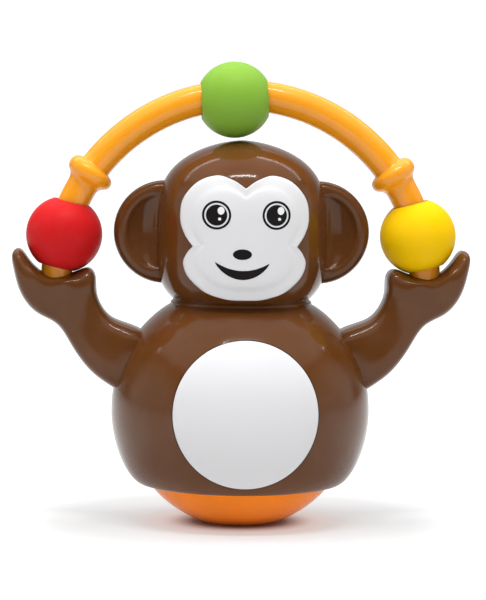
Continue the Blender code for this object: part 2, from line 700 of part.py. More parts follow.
LIMB_FACES = (
    ("root_low", "upper_low", "upper_mid", "root_mid"),
    ("root_mid", "upper_mid", "upper_top", "root_top"),
    ("upper_low", "elbow_low", "elbow_mid", "upper_mid"),
    ("upper_mid", "elbow_mid", "elbow_top", "upper_top"),
    ("elbow_low", "fore_low", "fore_mid", "elbow_mid"),
    ("elbow_mid", "fore_mid", "fore_top", "elbow_top"),
    ("fore_low", "wrist_low", "wrist_mid", "fore_mid"),
    ("fore_mid", "wrist_mid", "wrist_top", "fore_top"),
    ("wrist_low", "heel", "palm_low", "wrist_mid"),
    ("wrist_mid", "palm_low", "palm_in", "wrist_top"),
    ("wrist_top", "palm_in", "thumb_tip", "thumb_back"),
    ("heel", "knuckle", "palm_out", "palm_low"),
    ("knuckle", "finger_back", "finger_root", "palm_out"),
    ("finger_back", "finger_end", "finger_tip", "finger_root"),
)


def limb_cage(name, side):
    """Coarse cage of an arm: its side view, thickened to both sides of Y = 0."""
    points = limb_points()
    mesh = bpy.data.meshes.new(name)
    form = bmesh.new()
    layers = []
    for share in (-1.0, 0.0, 1.0):
        layers.append({key: form.verts.new((side * x, share * depth, z))
                       for key, (x, z, depth) in points.items()})
    for key, share in PALM_FALLS.items():
        layers[0][key].co.z -= PALM_FALL * share
        layers[2][key].co.z -= PALM_FALL * share
    walls = {}
    for face in LIMB_FACES:
        form.faces.new([layers[0][key] for key in face])
        form.faces.new([layers[2][key] for key in reversed(face)])
        for edge in zip(face, face[1:] + face[:1]):
            key = tuple(sorted(edge))
            walls[key] = None if key in walls else edge
    for start, end in filter(None, walls.values()):
        for near, far in zip(layers, layers[1:]):
            form.faces.new((near[end], near[start], far[start], far[end]))
    for key in ("wrist_mid", "fore_mid", "elbow_mid", "upper_mid"):
        form.verts.remove(layers[1][key])
    bmesh.ops.recalc_face_normals(form, faces=form.faces)
    form.to_mesh(mesh)
    form.free()
    mesh.shade_smooth()
    return mesh


def make_arm(word, side):
    """Arm with a cupped hand, a peg trapped by the body's halves and a socket for the arch."""
    name = word + "_arm"
    arm = place_object(name, limb_cage(name, side), BROWN)
    soften = arm.modifiers.new("soften", "SUBSURF")
    soften.levels = 1
    soften.render_levels = 1
    clear = offset_curve(BODY_CURVE, GAP)
    cut(arm, solid_of(word + "_arm_clearance", clear, BODY_TOP_Z + FAR, -FAR))
    point, direction = shoulder(side)
    sink = ARM_PEG_FLANGE ** 2 / (body_radius(SHOULDER_Z) - SHELL_WALL)
    inner = -SHELL_WALL - sink
    peg = peg_profile(ARM_PEG_RADIUS, ARM_PEG_FLANGE, inner, ARM_PEG_REACH)
    cut(arm, aim(turned(word + "_arm_peg", peg, None, SMALL_FACETS), point, direction), "UNION")
    core = cylinder_profile(ARM_CORE_RADIUS, ARM_CORE_REACH, inner - 2.0 * SHELL_WALL)
    cut(arm, aim(turned(word + "_arm_core", core, None, SMALL_FACETS), point, direction))
    plug = math.pi / 2.0 + (ROD_PLUG_DEPTH + GAP) / ARCH_RADIUS
    stations = [(side * angle, 1.0) for angle in spread(SOCKET_START, plug, SOCKET_STEPS)]
    cut(arm, arch_tube(word + "_palm_socket", stations, ROD_RADIUS + GAP))


def make_arch():
    """Rod bent to an arch, with its two stop rings, bored from end to end."""
    plug = math.pi / 2.0 + ROD_PLUG_DEPTH / ARCH_RADIUS
    ring = STOP_WIDTH / 2.0 / ARCH_RADIUS
    swell = STOP_RADIUS / ROD_RADIUS - 1.0
    stop = [(STOP_ANGLE + ring * along, 1.0 + swell * share) for along, share in STOP_FORM]
    end_start = STOP_ANGLE + ring * STOP_RUN_BELOW
    top_start = STOP_ANGLE - ring * STOP_RUN_ABOVE
    outer = [(angle, 1.0) for angle in spread(plug, end_start, ROD_END_STEPS)]
    inner = [(angle, 1.0) for angle in spread(top_start, 0.0, ROD_TOP_STEPS)]
    half = outer + stop + inner
    stations = [(-angle, share) for angle, share in half] + list(reversed(half[:-1]))
    rod = arch_tube("arch_rod", stations, ROD_RADIUS, ORANGE)
    reach = plug + GAP / ARCH_RADIUS
    way = [(angle, 1.0) for angle in spread(-reach, reach, ROD_BORE_STEPS)]
    cut(rod, arch_tube("arch_bore", way, ROD_BORE_RADIUS, None, 1))


def make_ball(word, angle, drop, material):
    """Hollow ball in two halves on a pivot at the arch's centre; its bore is narrowest at its mouths."""
    outer = math.asin(BALL_BORE_RADIUS / BALL_RADIUS)
    inner = math.asin((BALL_BORE_RADIUS + BALL_BORE_FLARE) / BALL_INNER_RADIUS)
    turns = spread(outer, math.pi - outer, BALL_STEPS)
    profile = [(BALL_RADIUS * math.sin(turn), BALL_RADIUS * math.cos(turn)) for turn in turns]
    turns = spread(math.pi - inner, inner, BALL_HOLLOW_STEPS)
    profile += [(BALL_INNER_RADIUS * math.sin(turn), BALL_INNER_RADIUS * math.cos(turn)) for turn in turns]
    tangent = Vector((math.cos(angle), 0.0, -math.sin(angle)))
    empty = pivot(word + "_ball_pivot", ARCH_Z)
    for end, keep in (("front", FRONT), ("back", BACK)):
        half = turned(f"{word}_ball_{end}", profile, material, BALL_FACETS)
        aim(half, arch_point(angle, ARCH_RADIUS - drop), tangent)
        cut(half, keep, "INTERSECT")
        carry(half, empty)


def make_head():
    """Head halves, their screws, the face plate, the ears and the neck bobbin."""
    ends = (HEAD_TOP_Z - SHELL_WALL, HEAD_FLOOR_Z + SHELL_WALL)
    halves = hollow_shell("head", HEAD_CURVE, HEAD_TOP_Z, HEAD_FLOOR_Z, head_screw_places(), ends)
    plug, flange, opening = panel_prisms("face", face_outline(), FACE_NOTCHES, -BOBBIN_FLANGE_RADIUS)
    face = inset_panel("face_plate", (plug, flange), HEAD_CURVE, offset_curve(FACE_CURVE, FACE_PROUD))
    cut(halves[0], opening)
    floor_way = HEAD_FLOOR_Z - NECK_GAP
    neck = cylinder_profile(BOBBIN_RADIUS + GAP, HEAD_FLOOR_Z + 2.0 * SHELL_WALL, floor_way)
    cutters = [turned("head_neck_way", neck, None, BALL_FACETS)]
    pieces = [face] + halves
    for side, word in ((-1.0, "left"), (1.0, "right")):
        point, direction = ear_seat(side)
        bar = cylinder_profile(EAR_PEG_RADIUS + GAP, EAR_PEG_FLANGE, -2.0 * EAR_PEG_FLANGE)
        cutters.append(aim(turned(f"{word}_ear_way", bar, None, SMALL_FACETS), point, direction))
        pieces.append(make_ear(word, side))
    for half, keep in zip(halves, (FRONT, BACK)):
        for cutter in cutters:
            cut(half, cutter)
        cut(half, keep, "INTERSECT")
    pieces.append(make_bobbin())
    pieces += [bpy.data.objects[f"head_screw_{i}"] for i in range(1, len(head_screw_places()) + 1)]
    empty = pivot("head_pivot", HEAD_FLOOR_Z)
    for piece in pieces:
        carry(piece, empty)


def make_ear(word, side):
    """Dished ear with a rounded rim and a peg trapped by the head's halves."""
    half = EAR_THICKNESS / 2.0
    rim = [(EAR_RADIUS - EAR_RIM * (1.0 - math.sin(turn)) / 2.0, half * math.cos(turn))
           for turn in spread(0.0, math.pi, CURVE_STEPS)]
    bowl = [(EAR_RADIUS - width * EAR_RIM, half - depth * EAR_DISH)
            for width, depth in zip(EAR_BOWL_WIDTHS, EAR_BOWL_DEPTHS)]
    profile = [(0.0, half - EAR_DISH)] + bowl + rim + [(0.0, -half)]
    ear = turned(word + "_ear", profile, BROWN, BALL_FACETS)
    centre = (side * (EAR_REACH - EAR_RADIUS), 0.0, HEAD_FLOOR_Z + EAR_RISE)
    aim(ear, centre, (0.0, -1.0, 0.0))
    clear = offset_curve(HEAD_CURVE, GAP)
    cut(ear, solid_of(word + "_ear_clearance", clear, HEAD_TOP_Z + GAP, HEAD_FLOOR_Z - FAR))
    point, direction = ear_seat(side)
    sink = EAR_PEG_FLANGE ** 2 / (HEAD_RADIUS - SHELL_WALL)
    peg = peg_profile(EAR_PEG_RADIUS, EAR_PEG_FLANGE, -SHELL_WALL - sink, EAR_PEG_FLANGE)
    return cut(ear, aim(turned(word + "_ear_peg", peg, None, SMALL_FACETS), point, direction), "UNION")


def make_bobbin():
    """Neck bobbin: its lower flange turns under the body's top, its upper one is in the head."""
    low = BODY_TOP_Z - SHELL_WALL - RUN_GAP
    high = HEAD_FLOOR_Z + SHELL_WALL + GAP
    top = high + BOBBIN_FLANGE_HEIGHT
    bottom = low - BOBBIN_FLANGE_HEIGHT
    bore = BOBBIN_RADIUS - SHELL_WALL
    profile = [(bore, top), (BOBBIN_FLANGE_RADIUS, top), (BOBBIN_FLANGE_RADIUS, high), (BOBBIN_RADIUS, high)]
    profile += [(BOBBIN_RADIUS, low), (BOBBIN_FLANGE_RADIUS, low)]
    profile += [(BOBBIN_FLANGE_RADIUS, bottom), (bore, bottom)]
    return turned("neck_bobbin", profile, NYLON, BALL_FACETS)


def weld_cut_pieces():
    """Merge the points that a Boolean leaves on top of each other."""
    for piece in PARTS.objects:
        if any(step.type == "BOOLEAN" for step in piece.modifiers):
            piece.modifiers.new("weld", "WELD").merge_threshold = WELD


make_dome()
make_ballast()
make_body()
make_arm("left", -1.0)
make_arm("right", 1.0)
make_arch()
make_ball("red", -SIDE_BALL_ANGLE, SIDE_BALL_DROP, RED)
make_ball("green", TOP_BALL_ANGLE, HANG_DROP, GREEN)
make_ball("yellow", SIDE_BALL_ANGLE, SIDE_BALL_DROP, YELLOW)
make_head()
weld_cut_pieces()
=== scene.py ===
"""Looks of a round-bottomed monkey wobble toy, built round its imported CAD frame.

Metres, +Z up, the face looks towards -Y. Left is the side at -X.
"""
import math

import bmesh
import bpy
from mathutils import Matrix, Vector


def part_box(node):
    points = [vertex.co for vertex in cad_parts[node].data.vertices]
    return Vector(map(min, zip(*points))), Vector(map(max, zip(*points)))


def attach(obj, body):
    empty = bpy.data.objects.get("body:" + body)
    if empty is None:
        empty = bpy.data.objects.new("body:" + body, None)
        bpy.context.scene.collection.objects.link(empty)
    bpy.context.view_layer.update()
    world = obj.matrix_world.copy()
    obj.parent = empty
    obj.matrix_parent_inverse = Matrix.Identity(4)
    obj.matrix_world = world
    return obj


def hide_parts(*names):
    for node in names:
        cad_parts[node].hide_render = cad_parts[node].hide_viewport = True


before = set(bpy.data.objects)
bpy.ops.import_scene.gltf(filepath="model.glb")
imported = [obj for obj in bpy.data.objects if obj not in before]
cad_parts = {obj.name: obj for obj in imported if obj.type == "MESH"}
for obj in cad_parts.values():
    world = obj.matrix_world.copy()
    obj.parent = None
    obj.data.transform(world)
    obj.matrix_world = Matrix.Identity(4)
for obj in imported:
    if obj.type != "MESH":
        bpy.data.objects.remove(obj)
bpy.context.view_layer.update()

bl_info = {
    "name": "Monkey wobble toy",
    "version": (1, 0, 0),
    "blender": (4, 5, 0),
    "location": "3D View > Sidebar > Toy",
    "description": "Builds the looks of a monkey wobble toy with an arch of sliding balls",
    "category": "Object",
}

# Gaps between moulded pieces, at seams and where halves part, and how deep joined pieces sink in
GAP = 0.0003
SEAM = 0.00005
PARTING = 0.00002
SUNK = 0.0002

# Fineness of the meshes
MERGE = 0.000002
HALF_TURN_STEPS = 72
CURVE_STEPS = 26
SMOOTH_ANGLE = math.radians(32.0)
ARM_SOFTNESS = 4
BORE_SIDES = 48
ROD_SIDES = 40
ROD_END_STEPS = 14
ROD_TOP_STEPS = 44
SOCKET_STEPS = 16
EAR_RIM_STEPS = 26
EAR_BOWL_STEPS = 18
BALL_STEPS = 48
BALL_INSIDE_STEPS = 24
SMILE_STEPS = 30
SMILE_CUTS = 3
SCREW_SIDES = 40
CROWN_STEPS = 8

# Distance that is outside the toy on every side, and the turn of what is drawn flat to stand upright
BEYOND = 0.2
UPRIGHT = (math.pi / 2.0, 0.0, 0.0)

# Powers of the rounded curves of the body and head, above and below their widest level
BODY_UPPER = (2.2, 0.80)
BODY_LOWER = (1.8, 0.62)
HEAD_UPPER = (4.0, 0.62)
HEAD_LOWER = (3.5, 1.0)

# Lip round the head's floor, downwards: how far it stands out and up, in widths of its bead
NECK_LIP = ((1.0, 2.0), (1.15, 1.55), (1.45, 1.1), (1.9, 0.7), (2.35, 0.25), (2.62, -0.25), (2.7, -0.8))

# Half of the face's outline, as shares of its half width and half height, from the top notch down
FACE_OUTLINE = (
    (0.00, 0.80), (0.21, 0.94), (0.48, 1.00), (0.90, 0.72), (1.00, 0.33), (0.94, 0.07),
    (0.81, -0.14), (0.90, -0.26), (0.95, -0.44), (0.72, -0.80), (0.36, -0.97), (0.00, -1.00),
)
FACE_NOTCHES = (0, 6)

# Borders of the face and belly, inwards: shares of their size and of their rise
FACE_BORDER = (
    (0.994, 0.85), (0.985, 1.0), (0.950, 0.90), (0.900, 0.79), (0.850, 0.70), (0.830, 0.74),
    (0.805, 0.86), (0.775, 0.96), (0.740, 1.0),
)
BELLY_BORDER = ((0.994, 0.45), (0.986, 0.78), (0.974, 0.95))

# Even rings inside those borders and in a printed oval: first share, last share and number of steps, and
# the steps across an eye's ring
FACE_RINGS = (0.70, 0.04, 16)
BELLY_RINGS = (0.94, 0.02, 22)
OVAL_RINGS = (1.0, 0.1, 6)
EYE_RING_STEPS = 3

# Glints of each eye: place from its middle, half width, half height and steps; and their last ring's share
GLINTS = ((0.00178, 0.00182, 0.00140, 0.00160, 3), (0.00121, -0.00158, 0.00062, 0.00062, 2))
GLINT_MIDDLE = 0.2

# Smile: turn that spaces its points, power of its lower edge, powers of its rounded tips
SMILE_SWEEP = 1.45
SMILE_FULLNESS = 0.86
SMILE_TIP = (8.0, 0.5)

# Share of a film's thickness that is solid ink
FILM_SOLID = 0.9

# Ear: where its rolled rim meets the bowl, power of the bowl, sweep in widths of its blend, flat of its back
EAR_ROLL = -0.9
EAR_BOWL = 2.2
EAR_SWEEP = 0.55
EAR_BACK = 0.6

# Sweep of the ear's bowl up to the head: how far back it goes as a share of the ear's thickness, and the
# powers that it fades with, away from the head and towards the rim
EAR_SWEEP_BACK = 1.0 / 3.0
EAR_FADE = (2, 4)

# Stop ring along the rod: half widths from its middle and shares of its swell, from the end side
STOP_FORM = (
    (1.80, 0.00), (1.52, 0.05), (1.27, 0.15), (1.08, 0.30), (0.93, 0.48), (0.74, 0.70), (0.51, 0.87),
    (0.26, 0.97), (0.00, 1.00), (-0.26, 0.97), (-0.51, 0.87), (-0.72, 0.71), (-0.88, 0.50),
    (-0.98, 0.26), (-1.05, 0.07), (-1.16, 0.00),
)

# Mouth of a ball's hole, inwards: how far out along the hole and away from it, in widths of its lip
BALL_MOUTH = ((0.08, 0.55), (-0.12, 0.18), (-0.6, 0.0))

# Side view of the right arm: the span that its points are shares of, their half depth and their places
ARM_FORM = (
    ("shoulder_span", "shoulder_depth", {
        "root_low": (-0.08, -0.68), "root_mid": (-0.32, -0.16), "root_top": (-0.56, 0.36),
        "upper_low": (0.26, -0.46), "upper_mid": (0.07, 0.04), "upper_top": (-0.12, 0.55),
    }),
    ("shoulder_span", "forearm_depth", {
        "elbow_low": (0.56, -0.26), "elbow_mid": (0.38, 0.22), "elbow_top": (0.18, 0.63),
    }),
    ("hand_span", "wrist_depth", {
        "fore_low": (-0.18, -0.81), "fore_mid": (-0.34, -0.58), "fore_top": (-0.55, -0.34),
        "wrist_low": (-0.03, -0.50), "wrist_mid": (-0.20, -0.31), "wrist_top": (-0.47, -0.16),
    }),
    ("hand_span", "palm_depth", {
        "heel": (0.25, -0.43), "knuckle": (0.45, -0.17), "finger_back": (0.51, 0.11),
        "finger_root": (0.33, 0.26), "palm_out": (0.19, 0.11), "palm_low": (0.06, 0.03),
        "palm_in": (-0.23, 0.08),
    }),
    ("hand_span", "tip_depth", {
        "finger_end": (0.56, 0.33), "finger_tip": (0.43, 0.41),
        "thumb_tip": (-0.38, 0.18), "thumb_back": (-0.49, 0.07),
    }),
)

# Rows that the arm's side view is extruded along, each from the row before it
LIMB_ROWS = [tuple(f"{level}_{end}" for end in ("low", "mid", "top"))
             for level in ("root", "upper", "elbow", "fore", "wrist")]
ARM_ROWS = list(zip(LIMB_ROWS, LIMB_ROWS[1:])) + [
    (LIMB_ROWS[-1], ("heel", "palm_low", "palm_in")),
    (("wrist_top", "palm_in"), ("thumb_back", "thumb_tip")),
    (("heel", "palm_low"), ("knuckle", "palm_out")),
    (("knuckle", "palm_out"), ("finger_back", "finger_root")),
    (("finger_back", "finger_root"), ("finger_end", "finger_tip")),
]

# Palm: shares of its fall that its edges go down and its middle swells up, and how sharp its edge is
PALM_FALLS = {"finger_root": 0.9, "palm_out": 1.0, "palm_low": 0.8, "palm_in": 0.6}
PALM_SWELLS = {"palm_out": 0.3, "palm_low": 0.55, "palm_in": 0.35}
PALM_CREASE = 0.65

# How far above the palm the cutter of the rod's socket starts
SOCKET_RISE = math.radians(20.0)

# Screw: edge of its pan head as a share of its height and power of its rounding, cross and its rounding as
# shares of the head, and turn from one screw to the next
PAN_EDGE = 0.35
PAN_ROUNDING = 0.5
CROSS = (1.15, 0.26, 1.1)
CROSS_ROUNDING = 0.05
SCREW_TURN = 0.7

# Middle range that a noise is stretched from
NOISE_MIDDLE = (0.3, 0.7)

# Skins of the finishes: how fine their peel or grain is and how strongly it shows, and its depth
SKINS = {
    "gloss": (420.0, 0.04), "satin": (1500.0, 0.10), "panel": (700.0, 0.04), "ink": (2400.0, 0.08),
    "cast": (900.0, 0.60), "zinc": (3000.0, 0.15), "nylon": (1200.0, 0.10), "paper": (300.0, 0.02),
}
PEEL_DEPTH = 0.0002

# Floor's glow, with the toy's shadow painted into it: distances from the toy's foot and the share of the
# glow that shows there (low at the foot for a painted contact shadow, a brighter ring that also lights the
# dome, a dip for a painted soft shadow, full far off), its cool tint against the dome's orange bounce, where
# it stops lighting the toy, its strength and the share that reflections show
GLOW_WITH_PAINTED_SHADOW = (
    (0.0, 0.0), (0.016, 0.0), (0.021, 0.08), (0.029, 0.50), (0.038, 0.60), (0.052, 0.40), (0.066, 0.20),
    (0.082, 0.20), (0.100, 0.44), (0.160, 1.0),
)
GLOW_TONE = (0.93, 1.0, 1.02)
GLOW_LIGHTS_TO = (0.050, 0.080)
GLOW_STRENGTH = 0.63
GLOW_MIRRORED = 0.5
FLOOR_SIZE = 400.0

# Surroundings as light: between which parts of a direction along an axis they change, and from what to what
SURROUNDINGS = {
    "X": ((0.78, 0.96), (0.0, 0.8)),
    "Y": ((0.55, 0.985), (0.12, 0.62)),
    "Z": ((0.50, 0.64), (0.0, 1.0)),
}

# Lights: place, target, width and height, power, and whether reflections show them
MIDDLE = (0.0, 0.0, 0.09)
LIGHTS = {
    "front_softbox": ((-0.12, -0.42, 1.60), MIDDLE, (1.4, 0.7), 6.5, False),
    "top_softbox": ((0.0, 0.15, 1.60), MIDDLE, (1.2, 0.8), 15.5, False),
    "rear_strip": ((0.0, 0.67, 1.45), MIDDLE, (4.0, 0.04), 5.0, True),
    "front_strip": ((0.0, -0.55, 1.40), MIDDLE, (0.7, 0.03), 7.0, True),
    "low_fill": ((0.0, -1.0, 0.10), (0.0, 0.0, 0.02), (1.8, 0.2), 1.1, False),
}

# Camera at the photograph's viewing angle
CAMERA_PLACE = (-0.0550, -1.1085, 0.171)
CAMERA_AIM = (0.00084, 0.0, 0.0939)
CAMERA_ROLL = math.radians(0.5)
CAMERA_LENS = 158.0
CAMERA_REACH = 500.0


def length(name, description, default):
    """Length property."""
    return bpy.props.FloatProperty(name=name, description=description, default=default, unit="LENGTH",
                                   precision=5)


def turn(name, description, default):
    """Angle property, its default in degrees."""
    return bpy.props.FloatProperty(name=name, description=description, default=math.radians(default),
                                   unit="ROTATION", precision=3)


def colour(name, description, default):
    """Colour property."""
    return bpy.props.FloatVectorProperty(name=name, description=description, default=default, size=3,
                                         min=0.0, max=1.0, subtype="COLOR")


class BodySizes(bpy.types.PropertyGroup):
    """Body, belly and dome."""
    rim_height: length("Rim height", "Level of the body's lower edge", 0.0165)
    rim_radius: length("Rim radius", "Radius of the body's lower edge", 0.041893)
    waist_height: length("Waist height", "Level of the body's widest girth", 0.0468)
    waist_radius: length("Waist radius", "Radius of the body's widest girth", 0.0546)
    top_height: length("Top height", "Level of the body's top", 0.0932)
    neck_radius: length("Neck radius", "Radius of the body's top", 0.0279)
    neck_bore: length("Neck bore", "Radius of the hole that the neck turns in", 0.00835)
    wall: length("Wall", "Thickness of the moulded shells", 0.002)
    belly_height: length("Belly height", "Level of the belly disc's middle", 0.0501)
    belly_half_width: length("Belly half width", "Half the belly disc's width", 0.0297)
    belly_half_height: length("Belly half height", "Half the belly disc's height", 0.0302)
    belly_proud: length("Belly rise", "How far the belly disc stands proud", 0.0006)
    dome_radius: length("Dome radius", "Radius of the round bottom", 0.0487)
    dome_wall: length("Dome wall", "Thickness of the dome", 0.0026)
    foot_radius: length("Foot radius", "Radius of the flat under the dome", 0.015)


class HeadSizes(bpy.types.PropertyGroup):
    """Head, face and ears."""
    floor_height: length("Floor height", "Level of the head's lower edge", 0.094)
    floor_radius: length("Floor radius", "Radius of the head's lower edge", 0.0282)
    middle_height: length("Middle height", "Level of the head's widest girth", 0.1174)
    radius: length("Radius", "Radius of the head's widest girth", 0.0359)
    top_height: length("Top height", "Level of the crown", 0.1613)
    bead: length("Bead", "How far the bead at the neck stands out", 0.0006)
    face_height: length("Face height", "Level of the face's middle", 0.1214)
    face_half_width: length("Face half width", "Half the face's width", 0.0266)
    face_half_height: length("Face half height", "Half the face's height", 0.0255)
    chin_radius: length("Chin radius", "Radius that the face's front falls to at the head's floor", 0.0326)
    face_proud: length("Face rise", "How far the face stands proud at its middle", 0.0013)
    ear_reach: length("Ear reach", "How far out the ear's centre is", 0.03222)
    ear_height: length("Ear height", "Level of the ear's centre", 0.1226)
    ear_radius: length("Ear radius", "Radius of the ear", 0.0217)
    ear_rim: length("Ear rim", "Width of the ear's rolled rim", 0.0072)
    ear_blend: length("Ear blend", "Width of the bowl's sweep up to the head", 0.0060)
    ear_thickness: length("Ear thickness", "Thickness of the ear", 0.009)
    ear_dish: length("Ear dish", "Depth of the ear's bowl", 0.006)


class ArchSizes(bpy.types.PropertyGroup):
    """Arch rod and balls."""
    centre_height: length("Centre height", "Level of the arch's centre", 0.102341)
    radius: length("Radius", "Radius of the arch", 0.0778)
    rod_radius: length("Rod radius", "Radius of the rod", 0.0065)
    plug_depth: length("Plug depth", "How far the rod goes into the palms", 0.0095)
    stop_angle: turn("Stop angle", "Angle of the stop rings from the arch's top", 55.0)
    stop_radius: length("Stop radius", "Radius of the stop rings", 0.0101)
    stop_width: length("Stop width", "Width of the stop rings", 0.007)
    ball_radius: length("Ball radius", "Radius of the balls", 0.016)
    ball_wall: length("Ball wall", "Thickness of the balls", 0.002)
    ball_bore: length("Ball bore", "Radius of the hole through the balls at its mouths", 0.0076)
    ball_flare: length("Ball flare", "How much wider the hole is inside", 0.0009)
    ball_lip: length("Ball lip", "Rounding of the hole's mouths", 0.0002)
    side_angle: turn("Side angle", "Angle of the side balls from the arch's top", 75.8)
    top_angle: turn("Top angle", "Angle of the top ball from the arch's top", -2.6)
    side_drop: length("Side drop", "How far the side balls lie inside the arch", 0.0008)
    hang_drop: length("Hang drop", "How far the top ball hangs on its bore", 0.001841)


class ArmSizes(bpy.types.PropertyGroup):
    """Arms and hands."""
    shoulder_height: length("Shoulder height", "Level of the shoulder on the body", 0.070)
    shoulder_span: length("Shoulder span", "Size of the upper arm", 0.025)
    hand_span: length("Hand span", "Size of the hand", 0.035)
    shoulder_depth: length("Shoulder depth", "Half depth of the upper arm", 0.015)
    forearm_depth: length("Forearm depth", "Half depth at the elbow", 0.0125)
    wrist_depth: length("Wrist depth", "Half depth at the wrist", 0.011)
    palm_depth: length("Palm depth", "Half depth of the palm", 0.013)
    palm_fall: length("Palm fall", "How far the palm's edges fall below its middle", 0.0034)
    tip_depth: length("Tip depth", "Half depth of the finger and thumb tips", 0.010)


class ScrewSizes(bpy.types.PropertyGroup):
    """Screws that join the shells from the back."""
    head_radius: length("Head radius", "Radius of the screw heads", 0.003)
    head_height: length("Head height", "Height of the screw heads", 0.0022)
    shank_radius: length("Shank radius", "Radius of the screw shanks", 0.00145)
    shank_length: length("Shank length", "Length of the screw shanks", 0.0217)
    seat: length("Seat", "How far behind the middle the heads sit", 0.010)
    boss_radius: length("Boss radius", "Radius of the screw bosses", 0.0042)


class PrintSizes(bpy.types.PropertyGroup):
    """Eyes, nose and smile printed on the face."""
    eye_reach: length("Eye reach", "How far the eyes are from the face's middle line", 0.0123)
    eye_shift: length("Eye shift", "How far the pair of eyes is set to the right", 0.0003)
    eye_height: length("Eye height", "Level of the eyes", 0.1310)
    eye_radius: length("Eye radius", "Outer radius of the eye's ring", 0.0059)
    ring_inside: length("Ring inside", "Inner radius of the eye's ring", 0.00498)
    pupil_radius: length("Pupil radius", "Radius of the pupil", 0.00429)
    nose_height: length("Nose height", "Level of the nose", 0.1150)
    nose_half_width: length("Nose half width", "Half the nose's width", 0.00390)
    nose_half_height: length("Nose half height", "Half the nose's height", 0.00216)
    mouth_shift: length("Mouth shift", "How far the nose and smile are set to the left", 0.0014)
    smile_half_width: length("Smile half width", "Half the smile's width", 0.01115)
    smile_corner: length("Smile corners", "Level of the smile's corners", 0.1116)
    smile_slant: length("Smile slant", "How far each corner is off the level of the smile's middle", 0.00025)
    smile_tip: length("Smile tips", "Thickness of the smile's rounded tips", 0.0006)
    smile_upper: length("Smile upper edge", "Lowest level of the smile's upper edge", 0.1083)
    smile_lower: length("Smile lower edge", "Lowest level of the smile's lower edge", 0.1052)
    film: length("Film", "Thickness of the printed ink", 0.00006)


class ToyColours(bpy.types.PropertyGroup):
    """Colours of the mouldings and inks."""
    brown: colour("Brown", "Body, head, arms and ears", (0.112, 0.036, 0.0060))
    orange: colour("Orange", "Arch", (0.930, 0.345, 0.010))
    # The dome is the arch's orange plastic, deeper and redder here as painted shade
    shaded_orange: colour("Shaded orange", "Dome", (0.980, 0.240, 0.007))
    red: colour("Red", "Left ball", (0.600, 0.010, 0.012))
    green: colour("Green", "Top ball", (0.220, 0.430, 0.042))
    yellow: colour("Yellow", "Right ball", (0.920, 0.560, 0.001))
    white: colour("White", "Face and belly", (0.727, 0.727, 0.742))
    ink: colour("Ink", "Printed eyes, nose and smile", (0.010, 0.008, 0.009))


SIZE_GROUPS = {
    "toy_body": BodySizes,
    "toy_head": HeadSizes,
    "toy_arch": ArchSizes,
    "toy_arm": ArmSizes,
    "toy_screw": ScrewSizes,
    "toy_print": PrintSizes,
    "toy_colour": ToyColours,
}


def spread(start, end, steps):
    """Evenly spaced values from start to end."""
    return [start + (end - start) * i / steps for i in range(steps + 1)]


def bulge(share, powers):
    """Falls from 1 to 0 as share goes from 0 to 1, like a quarter of a rounded box."""
    return max(0.0, 1.0 - share ** powers[0]) ** powers[1]


def body_radius(height):
    """Outer radius of the body at a height."""
    sizes = bpy.context.scene.toy_body
    if height >= sizes.waist_height:
        share = min(1.0, (height - sizes.waist_height) / (sizes.top_height - sizes.waist_height))
        return sizes.neck_radius + (sizes.waist_radius - sizes.neck_radius) * bulge(share, BODY_UPPER)
    share = min(1.0, (sizes.waist_height - height) / (sizes.waist_height - sizes.rim_height))
    return sizes.rim_radius + (sizes.waist_radius - sizes.rim_radius) * bulge(share, BODY_LOWER)


def head_radius(height):
    """Outer radius of the head at a height."""
    sizes = bpy.context.scene.toy_head
    if height >= sizes.middle_height:
        share = min(1.0, (height - sizes.middle_height) / (sizes.top_height - sizes.middle_height))
        return sizes.radius * bulge(share, HEAD_UPPER)
    share = min(1.0, (sizes.middle_height - height) / (sizes.middle_height - sizes.floor_height))
    return sizes.floor_radius + (sizes.radius - sizes.floor_radius) * bulge(share, HEAD_LOWER)


def face_radius(height):
    """Radius of the face's front at a height: the head's, but fuller towards the chin."""
    sizes = bpy.context.scene.toy_head
    share = max(0.0, (sizes.middle_height - height) / (sizes.middle_height - sizes.floor_height))
    return head_radius(height) + (sizes.chin_radius - sizes.floor_radius) * share ** HEAD_LOWER[0]


def side_curve(radius_at, top, middle, bottom):
    """Points (radius, height) down a side, closer together near its top and bottom edges."""
    ease = [math.sin(angle) for angle in spread(0.0, math.pi / 2.0, CURVE_STEPS)]
    heights = [middle + (top - middle) * share for share in reversed(ease)]
    heights += [middle + (bottom - middle) * share for share in ease[1:]]
    return [(radius_at(height), height) for height in heights]


def body_curve():
    """Body's side from its top to its rim."""
    sizes = bpy.context.scene.toy_body
    return side_curve(body_radius, sizes.top_height, sizes.waist_height, sizes.rim_height)


def head_curve():
    """Head's side from its crown to its floor."""
    sizes = bpy.context.scene.toy_head
    return side_curve(head_radius, sizes.top_height, sizes.middle_height, sizes.floor_height)


def face_curve():
    """Side of the face's front from the crown to the head's floor."""
    sizes = bpy.context.scene.toy_head
    return side_curve(face_radius, sizes.top_height, sizes.middle_height, sizes.floor_height)


def offset_curve(points, distance):
    """Move a side curve outwards along its normals, or inwards where distance is negative."""
    moved = []
    for i, (radius, height) in enumerate(points):
        above = points[max(i - 1, 0)]
        below = points[min(i + 1, len(points) - 1)]
        along = Vector((below[0] - above[0], below[1] - above[1])).normalized()
        moved.append((max(0.0, radius - along.y * distance), height + along.x * distance))
    return moved


def select_only(piece):
    """Make one object the selected and active one."""
    bpy.ops.object.select_all(action="DESELECT")
    piece.select_set(True)
    bpy.context.view_layer.objects.active = piece


def edit_all(piece):
    """Enter edit mode on one piece, with all of it selected."""
    select_only(piece)
    bpy.ops.object.mode_set(mode="EDIT")
    bpy.ops.mesh.select_all(action="SELECT")


def leave_edit():
    """Go back to object mode."""
    bpy.ops.object.mode_set(mode="OBJECT")


def added(name):
    """Name the object that was just added, and apply its place, turn and size to its mesh."""
    piece = bpy.context.active_object
    piece.name = name
    piece.data.name = name
    bpy.ops.object.transform_apply()
    return piece


